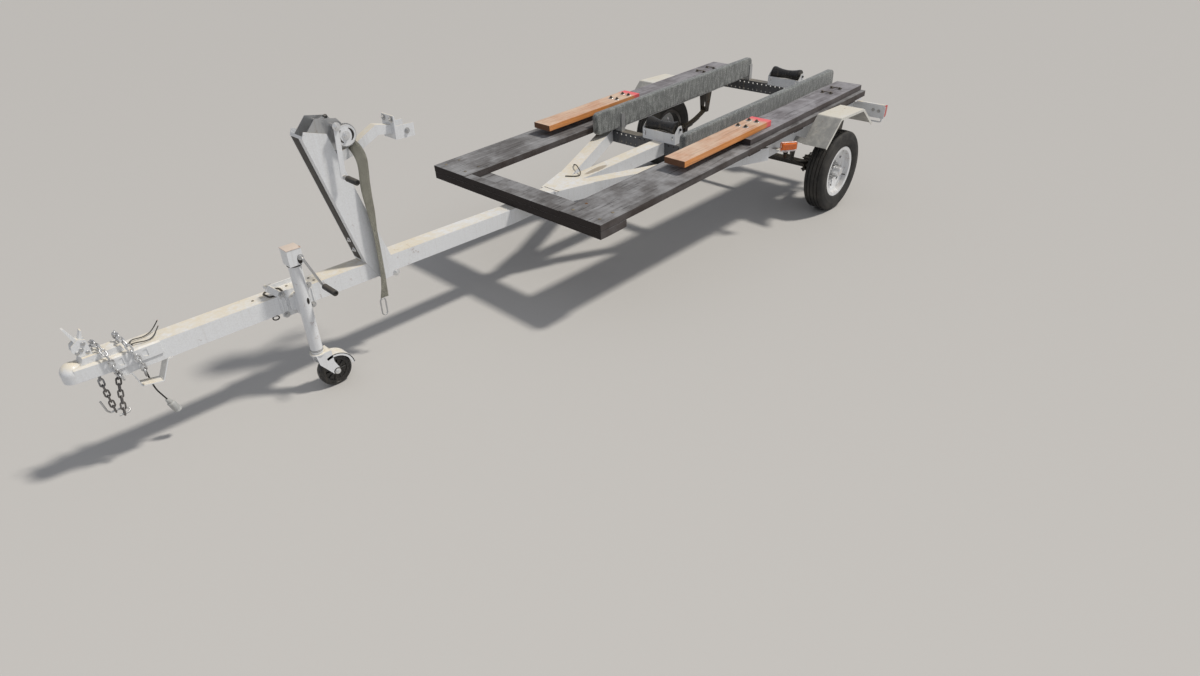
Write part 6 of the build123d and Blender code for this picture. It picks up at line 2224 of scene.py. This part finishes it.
@dataclass
class LampDressing:
    """Ribs and screws on the markers, and the tail lamps' housings and bright top flanges."""

    marker: Point = (-1.7, 0.7, 0.56)
    marker_turn: float = math.radians(35.0)
    ribs: int = 6
    rib_step: float = 0.0056
    rib_out: float = 0.0222
    rib_size: Point = (0.084, 0.0024, 0.0022)
    bezel_at: Point = (0.0538, 0.0245, 0.0085)
    bezel_long: Point = (0.1, 0.0024, 0.0022)
    bezel_short: Point = (0.0024, 0.036, 0.0022)
    screw_at: Pair = (0.0505, 0.0078)
    tail_front: float = -2.7803
    tail_deep: float = 0.03
    tail_wall: float = 0.0016
    tail_span: Pair = (0.679, 0.831)
    tail_heights: Pair = (0.537, 0.623)
    bracket_inner: float = 0.62
    studs: Profile = ((0.751, 0.586), (0.791, 0.582))

    def build(self) -> None:
        """Make both sides' lamp pieces."""
        ribs, bezel, housing, flange = bmesh.new(), bmesh.new(), bmesh.new(), bmesh.new()
        screws: list[Place] = []
        studs: list[Place] = []
        for sign in SIDES:
            screws += self.marker_parts(sign, ribs, bezel)
            self.tail_parts(sign, housing, flange)
            spots = [tongue_point(self.tail_front + 0.0045, sign * left, height) for left, height in self.studs]
            studs += [Place(spot, AHEAD) for spot in spots]
        bolts("tail_studs", studs, Palette.zinc, "frame", head=0.0078, height=0.0055)
        show("marker_ribs", ribs, Palette.amber_lens)
        show("marker_bezels", bezel, Palette.bright_zinc)
        show("tail_housings", housing, Palette.grey_plastic)
        show("tail_flanges", flange, Palette.white_paint)
        sizes = {"Head_Radius": 0.0036, "Head_Height": 0.0018}
        repeated("marker_screws", Repeat.ROUND_HEAD, screws, Palette.bright_zinc, "zinc", **sizes)

    def marker_parts(self, sign: int, ribs: Shape, bezel: Shape) -> list[Place]:
        """Add one marker's ribs and bezel.

        Args:
            sign: 1 on the left, -1 on the right.
            ribs: bmesh of the lens ribs.
            bezel: bmesh of the bright strips round the lens.

        Returns:
            Where the marker's two screws go.
        """
        sine, cosine = math.sin(self.marker_turn), math.cos(self.marker_turn)
        out = Vector((sine, sign * cosine, 0.0))
        across = Vector((-sign * cosine, sine, 0.0)) * sign
        turn = Matrix((across, UP * sign, out)).transposed()
        if turn.determinant() < 0:
            turn = Matrix((-across, UP * sign, out)).transposed()
        base = tongue_point(self.marker[0], sign * self.marker[1], self.marker[2])
        place = Matrix.Translation(base) @ turn.to_4x4()
        for step in range(self.ribs):
            up = (step - (self.ribs - 1) / 2) * self.rib_step
            add_block(ribs, place @ Matrix.Translation((0.0, up, self.rib_out)), self.rib_size, 0.0007)
        wide, tall, deep = self.bezel_at
        for side in SIDES:
            add_block(bezel, place @ Matrix.Translation((0.0, side * tall, deep)), self.bezel_long, 0.0006)
            add_block(bezel, place @ Matrix.Translation((side * wide, 0.0, deep)), self.bezel_short, 0.0006)
        return [Place(place @ Vector((side * self.screw_at[0], 0.0, self.screw_at[1])), out) for side in SIDES]

    def tail_parts(self, sign: int, housing: Shape, flange: Shape) -> None:
        """Add one tail lamp's housing walls and its bracket's bright edges.

        Args:
            sign: 1 on the left, -1 on the right.
            housing: bmesh of the housings.
            flange: bmesh of the brackets' edges.
        """
        (low, high), (inner, outer) = self.tail_heights, self.tail_span
        middle_x, deep = self.tail_front - self.tail_deep / 2, self.tail_deep - 0.0008
        span, long = (self.bracket_inner + outer) / 2, outer - self.bracket_inner - 0.006
        middle, wide = (inner + outer - 0.022) / 2, outer - inner - 0.024
        blocks = (
            # bmesh, middle, size, softened edge
            (housing, (middle_x, middle, low - 0.0002), (deep, wide, self.tail_wall), 0.0004),
            (housing, (middle_x, middle, high + 0.0002), (deep, wide, self.tail_wall), 0.0004),
            (housing, (middle_x, inner - 0.0002, (low + high) / 2), (deep, self.tail_wall, high - low - 0.018), 0.0004),
            (flange, (self.tail_front - 0.0085, span, high + 0.0018), (0.0245, long, 0.0018), 0.0006),
            (flange, (self.tail_front + 0.0048, span, high - 0.0052), (0.0018, long, 0.0155), 0.0006),
        )
        for shape, (ahead, left, height), size, bevel in blocks:
            add_block(shape, Matrix.Translation(tongue_point(ahead, sign * left, height)), size, bevel)


@dataclass
class SpringDressing:
    """U-bolts round the axle and the springs, with their nuts."""

    axle: float = -2.29
    apart: float = 0.034
    spring: float = 0.575
    half_gap: float = 0.0275
    low: float = 0.2255
    high: float = 0.3365
    rod: float = 0.0048
    nut_height: float = 0.2385

    def build(self) -> None:
        """Make the U-bolts and their nuts."""
        shape = bmesh.new()
        nuts = []
        for sign in SIDES:
            for ahead in (self.axle - self.apart, self.axle + self.apart):
                inner, outer = sign * self.spring - self.half_gap, sign * self.spring + self.half_gap
                for left in (inner, outer):
                    leg = [tongue_point(ahead, left, self.high), tongue_point(ahead, left, self.low)]
                    add_tube(shape, leg, self.rod, 10)
                bends = ((inner, -0.004), (inner, 0.004), (outer, 0.004), (outer, -0.004))
                top = [tongue_point(ahead, left, self.high + lift) for left, lift in bends]
                add_tube(shape, rounded_path(top, 0.01), self.rod, 10)
                nuts += [Place(tongue_point(ahead, left, self.nut_height), -UP) for left in (outer, inner)]
        show("axle_u_bolts", shape, Palette.dark_steel)
        bolts("axle_u_nuts", nuts, Palette.dark_steel, "frame", head=0.0085, height=0.0075)


@dataclass
class FrameDressing:
    """Welds at the frame's head, a bent wire loop on it, and the bow stop's bolts."""

    loop: tuple[Point, ...] = (
        (-0.657, -0.134, 0.503), (-0.657, -0.134, 0.517), (-0.63, -0.085, 0.531), (-0.588, -0.012, 0.519),
        (-0.566, 0.006, 0.5045), (-0.54, -0.012, 0.5025), (-0.512, -0.058, 0.5012), (-0.512, -0.058, 0.4965),
    )
    loop_wire: float = 0.0032
    brace_joint: Pair = (-0.544, 0.1308)
    brace_heights: Pair = (-0.0015, -0.0785)
    seam_ahead: float = -0.332
    seam_across: tuple[float, ...] = (-0.046, -0.02, 0.02, 0.07)
    bend_corners: Profile = ((0.0442, 0.394), (0.0442, 0.4702), (-0.0442, 0.4702), (-0.0442, 0.394))
    arm_bolt: Point = (0.548, 0.046, 1.006)
    face_bolt: Point = (0.607, 0.028, 1.062)

    def build(self) -> None:
        """Make the loop, the welds and the bolts."""
        shape = bmesh.new()
        add_tube(shape, rounded_path([tongue_point(*point) for point in self.loop], 0.02, 8), self.loop_wire, 10)
        show("head_wire_loop", shape, Palette.black_steel)
        ahead, left = self.brace_joint
        for side, sign in (("left", 1), ("right", -1)):
            weld(f"brace_weld_{side}", 0.0024, [rear_point(ahead, sign * left, up) for up in self.brace_heights])
        shape = bmesh.new()
        add_tube(shape, [rear_point(self.seam_ahead, across, 0.0003) for across in self.seam_across], 0.0016, 8)
        show("head_seam", shape, Palette.dark_steel)
        weld("bend_weld", 0.0022, [tongue_point(0.0015, across, height) for across, height in self.bend_corners])
        places = []
        for (ahead, left, height), axes in ((self.arm_bolt, (LEFT, -LEFT)), (self.face_bolt, (AHEAD, AHEAD))):
            places += [Place(tongue_point(ahead, sign * left, height), axis) for sign, axis in zip(SIDES, axes)]
        bolts("bow_stop_bolts", places, Palette.zinc, "frame", head=0.0085, height=0.006)


# Stage


@dataclass
class Studio:
    """Camera at the photograph's place, a pale floor and soft lamps."""

    eye: Point = (2.645, 2.754, 1.860)
    right: Point = (-0.6823, 0.7311, 0.0)
    down: Point = (0.3902, 0.3641, -0.8457)
    forward: Point = (-0.6183, -0.5770, -0.5337)
    roll: float = 0.0074
    lens: float = 20.894
    sensor: float = 36.0
    clip: Pair = (0.05, 60.0)
    floor_half: float = 30.0
    floor_color: Color = (0.5, 0.485, 0.46)
    floor_roughness: float = 0.9
    floor_specular: float = 0.2
    sun_energy: float = 2.6
    sun_spread: float = math.radians(6.0)
    sun_color: Color = (1.0, 0.96, 0.9)
    sun_from: Point = (-0.55, 0.45, 1.15)
    fill_energy: float = 40.0
    fill_size: float = 6.0
    fill_at: Point = (3.5, 3.5, 4.5)
    fill_from: Point = (3.5, 3.5, 3.8)
    sky_color: Color = (0.86, 0.9, 1.0)
    sky_strength: float = 0.38

    def camera(self) -> None:
        """Create the camera and make it the scene's."""
        level, steep = Vector(self.right), Vector(self.down)
        right = level * math.cos(self.roll) + steep * math.sin(self.roll)
        down = steep * math.cos(self.roll) - level * math.sin(self.roll)
        data = bpy.data.cameras.new("camera")
        data.lens = self.lens
        data.sensor_width = self.sensor
        data.clip_start, data.clip_end = self.clip
        made = bpy.data.objects.new("camera", data)
        turn = Matrix((right, -down, -Vector(self.forward))).transposed()
        made.matrix_world = Matrix.Translation(self.eye) @ turn.to_4x4()
        bpy.context.scene.collection.objects.link(made)
        bpy.context.scene.camera = made

    def floor(self) -> None:
        """A wide pale floor under the tyres."""
        shape = bmesh.new()
        bmesh.ops.create_grid(shape, x_segments=1, y_segments=1, size=self.floor_half)
        mesh = bpy.data.meshes.new("floor")
        shape.to_mesh(mesh)
        shape.free()
        pale = bpy.data.materials.new("floor_pale")
        pale.use_nodes = True
        shader = pale.node_tree.nodes["Principled BSDF"]
        shader.inputs["Base Color"].default_value = rgba(self.floor_color)
        shader.inputs["Roughness"].default_value = self.floor_roughness
        shader.inputs["Specular IOR Level"].default_value = self.floor_specular
        mesh.materials.append(pale)
        made = bpy.data.objects.new("floor", mesh)
        bpy.context.scene.collection.objects.link(made)

    def lamp(self, name: str, kind: str, energy: float, toward: Point) -> bpy.types.Object:
        """Add a lamp whose light comes from a direction.

        Args:
            name: Name of the lamp.
            kind: Type of the lamp.
            energy: Its strength.
            toward: Direction from the part to the lamp.

        Returns:
            The lamp.
        """
        light = bpy.data.lights.new(name, kind)
        light.energy = energy
        made = bpy.data.objects.new(name, light)
        made.rotation_euler = Vector(toward).to_track_quat("Z", "Y").to_euler()
        bpy.context.scene.collection.objects.link(made)
        return made

    def lamps(self) -> None:
        """A sun from behind the trailer's left, a soft fill, and a pale world."""
        sun = self.lamp("sun", "SUN", self.sun_energy, self.sun_from)
        sun.data.angle = self.sun_spread
        sun.data.color = self.sun_color
        soft = self.lamp("soft", "AREA", self.fill_energy, self.fill_from)
        soft.data.size = self.fill_size
        soft.location = self.fill_at
        world = bpy.data.worlds.new("world")
        world.use_nodes = True
        sky = world.node_tree.nodes["Background"]
        sky.inputs["Color"].default_value = rgba(self.sky_color)
        sky.inputs["Strength"].default_value = self.sky_strength
        bpy.context.scene.world = world
        bpy.context.scene.view_settings.view_transform = "Standard"

    def build(self) -> None:
        """Set the whole stage."""
        self.camera()
        self.floor()
        self.lamps()


# The CAD nodes

NODE_FINISHES: tuple[tuple[Finish, str], ...] = (
    (
        Palette.white_paint,
        "tongue_tube v_braces side_rails keel_brackets lamp_brackets coupler coupler_latch under_bracket jack_mount "
        "jack_body caster_fork winch_post winch_crank bow_stop",
    ),
    (Palette.beam_paint, "centre_beam"),
    (Palette.rim_paint, "wheel_rim_left wheel_rim_right"),
    (Palette.fender_paint, "fenders"),
    (Palette.perforated_steel, "crossmembers"),
    (Palette.dark_steel, "axle axle_clamps leaf_springs spring_hangers"),
    (Palette.zinc, "bunk_brackets chain_hook jack_crank winch_frame winch_drum strap_hook"),
    (Palette.chain_zinc, "safety_chains"),
    (Palette.rubber, "keel_roller_front keel_roller_rear caster_wheel"),
    (Palette.tyre, "tyre_left tyre_right"),
    (Palette.amber_lens, "marker_lamps"),
    (Palette.red_lens, "tail_lamps"),
    (Palette.black_plastic, "jack_grip winch_grip plug_wire harness_wire_a harness_wire_b"),
    (Palette.grey_plastic, "wiring_plug"),
    (Palette.webbing, "winch_strap"),
    (Palette.carpet, "bunks"),
    (Palette.dark_timber, "cross_plank side_planks packers"),
    (Palette.grey_timber, "grey_boards"),
    (Palette.new_timber, "new_boards"),
)


def dress_nodes() -> None:
    """Give every CAD node its finish."""
    finishes = {name: finish for finish, names in NODE_FINISHES for name in names.split()}
    for name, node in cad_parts.items():
        node.data.materials.clear()
        node.data.materials.append(finishes[name].material())


def main() -> None:
    """Build the finishes, the cords, the pieces and the stage in order."""
    logging.basicConfig(level=logging.INFO, format="%(message)s")
    for build in (build_weathering, build_timber_grain, build_fibre_tuft):
        build()
    for build in (build_bolt_tree, build_round_head_tree, build_link_tree, build_tooth_tree):
        build()
    Studio().build()
    dress_nodes()
    Wires().build()
    WinchStrap().build()
    for side in ("left", "right"):
        Tyre(side).build()
        WheelTrim(side).build()
    Deck().build()
    build_bunks()
    SafetyChains().build()
    for dressing in (
        JackDressing, CasterDressing, WinchDressing, CouplerDressing, LampDressing, SpringDressing, FrameDressing,
    ):
        dressing().build()
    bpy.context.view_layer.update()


if __name__ == "__main__":
    main()
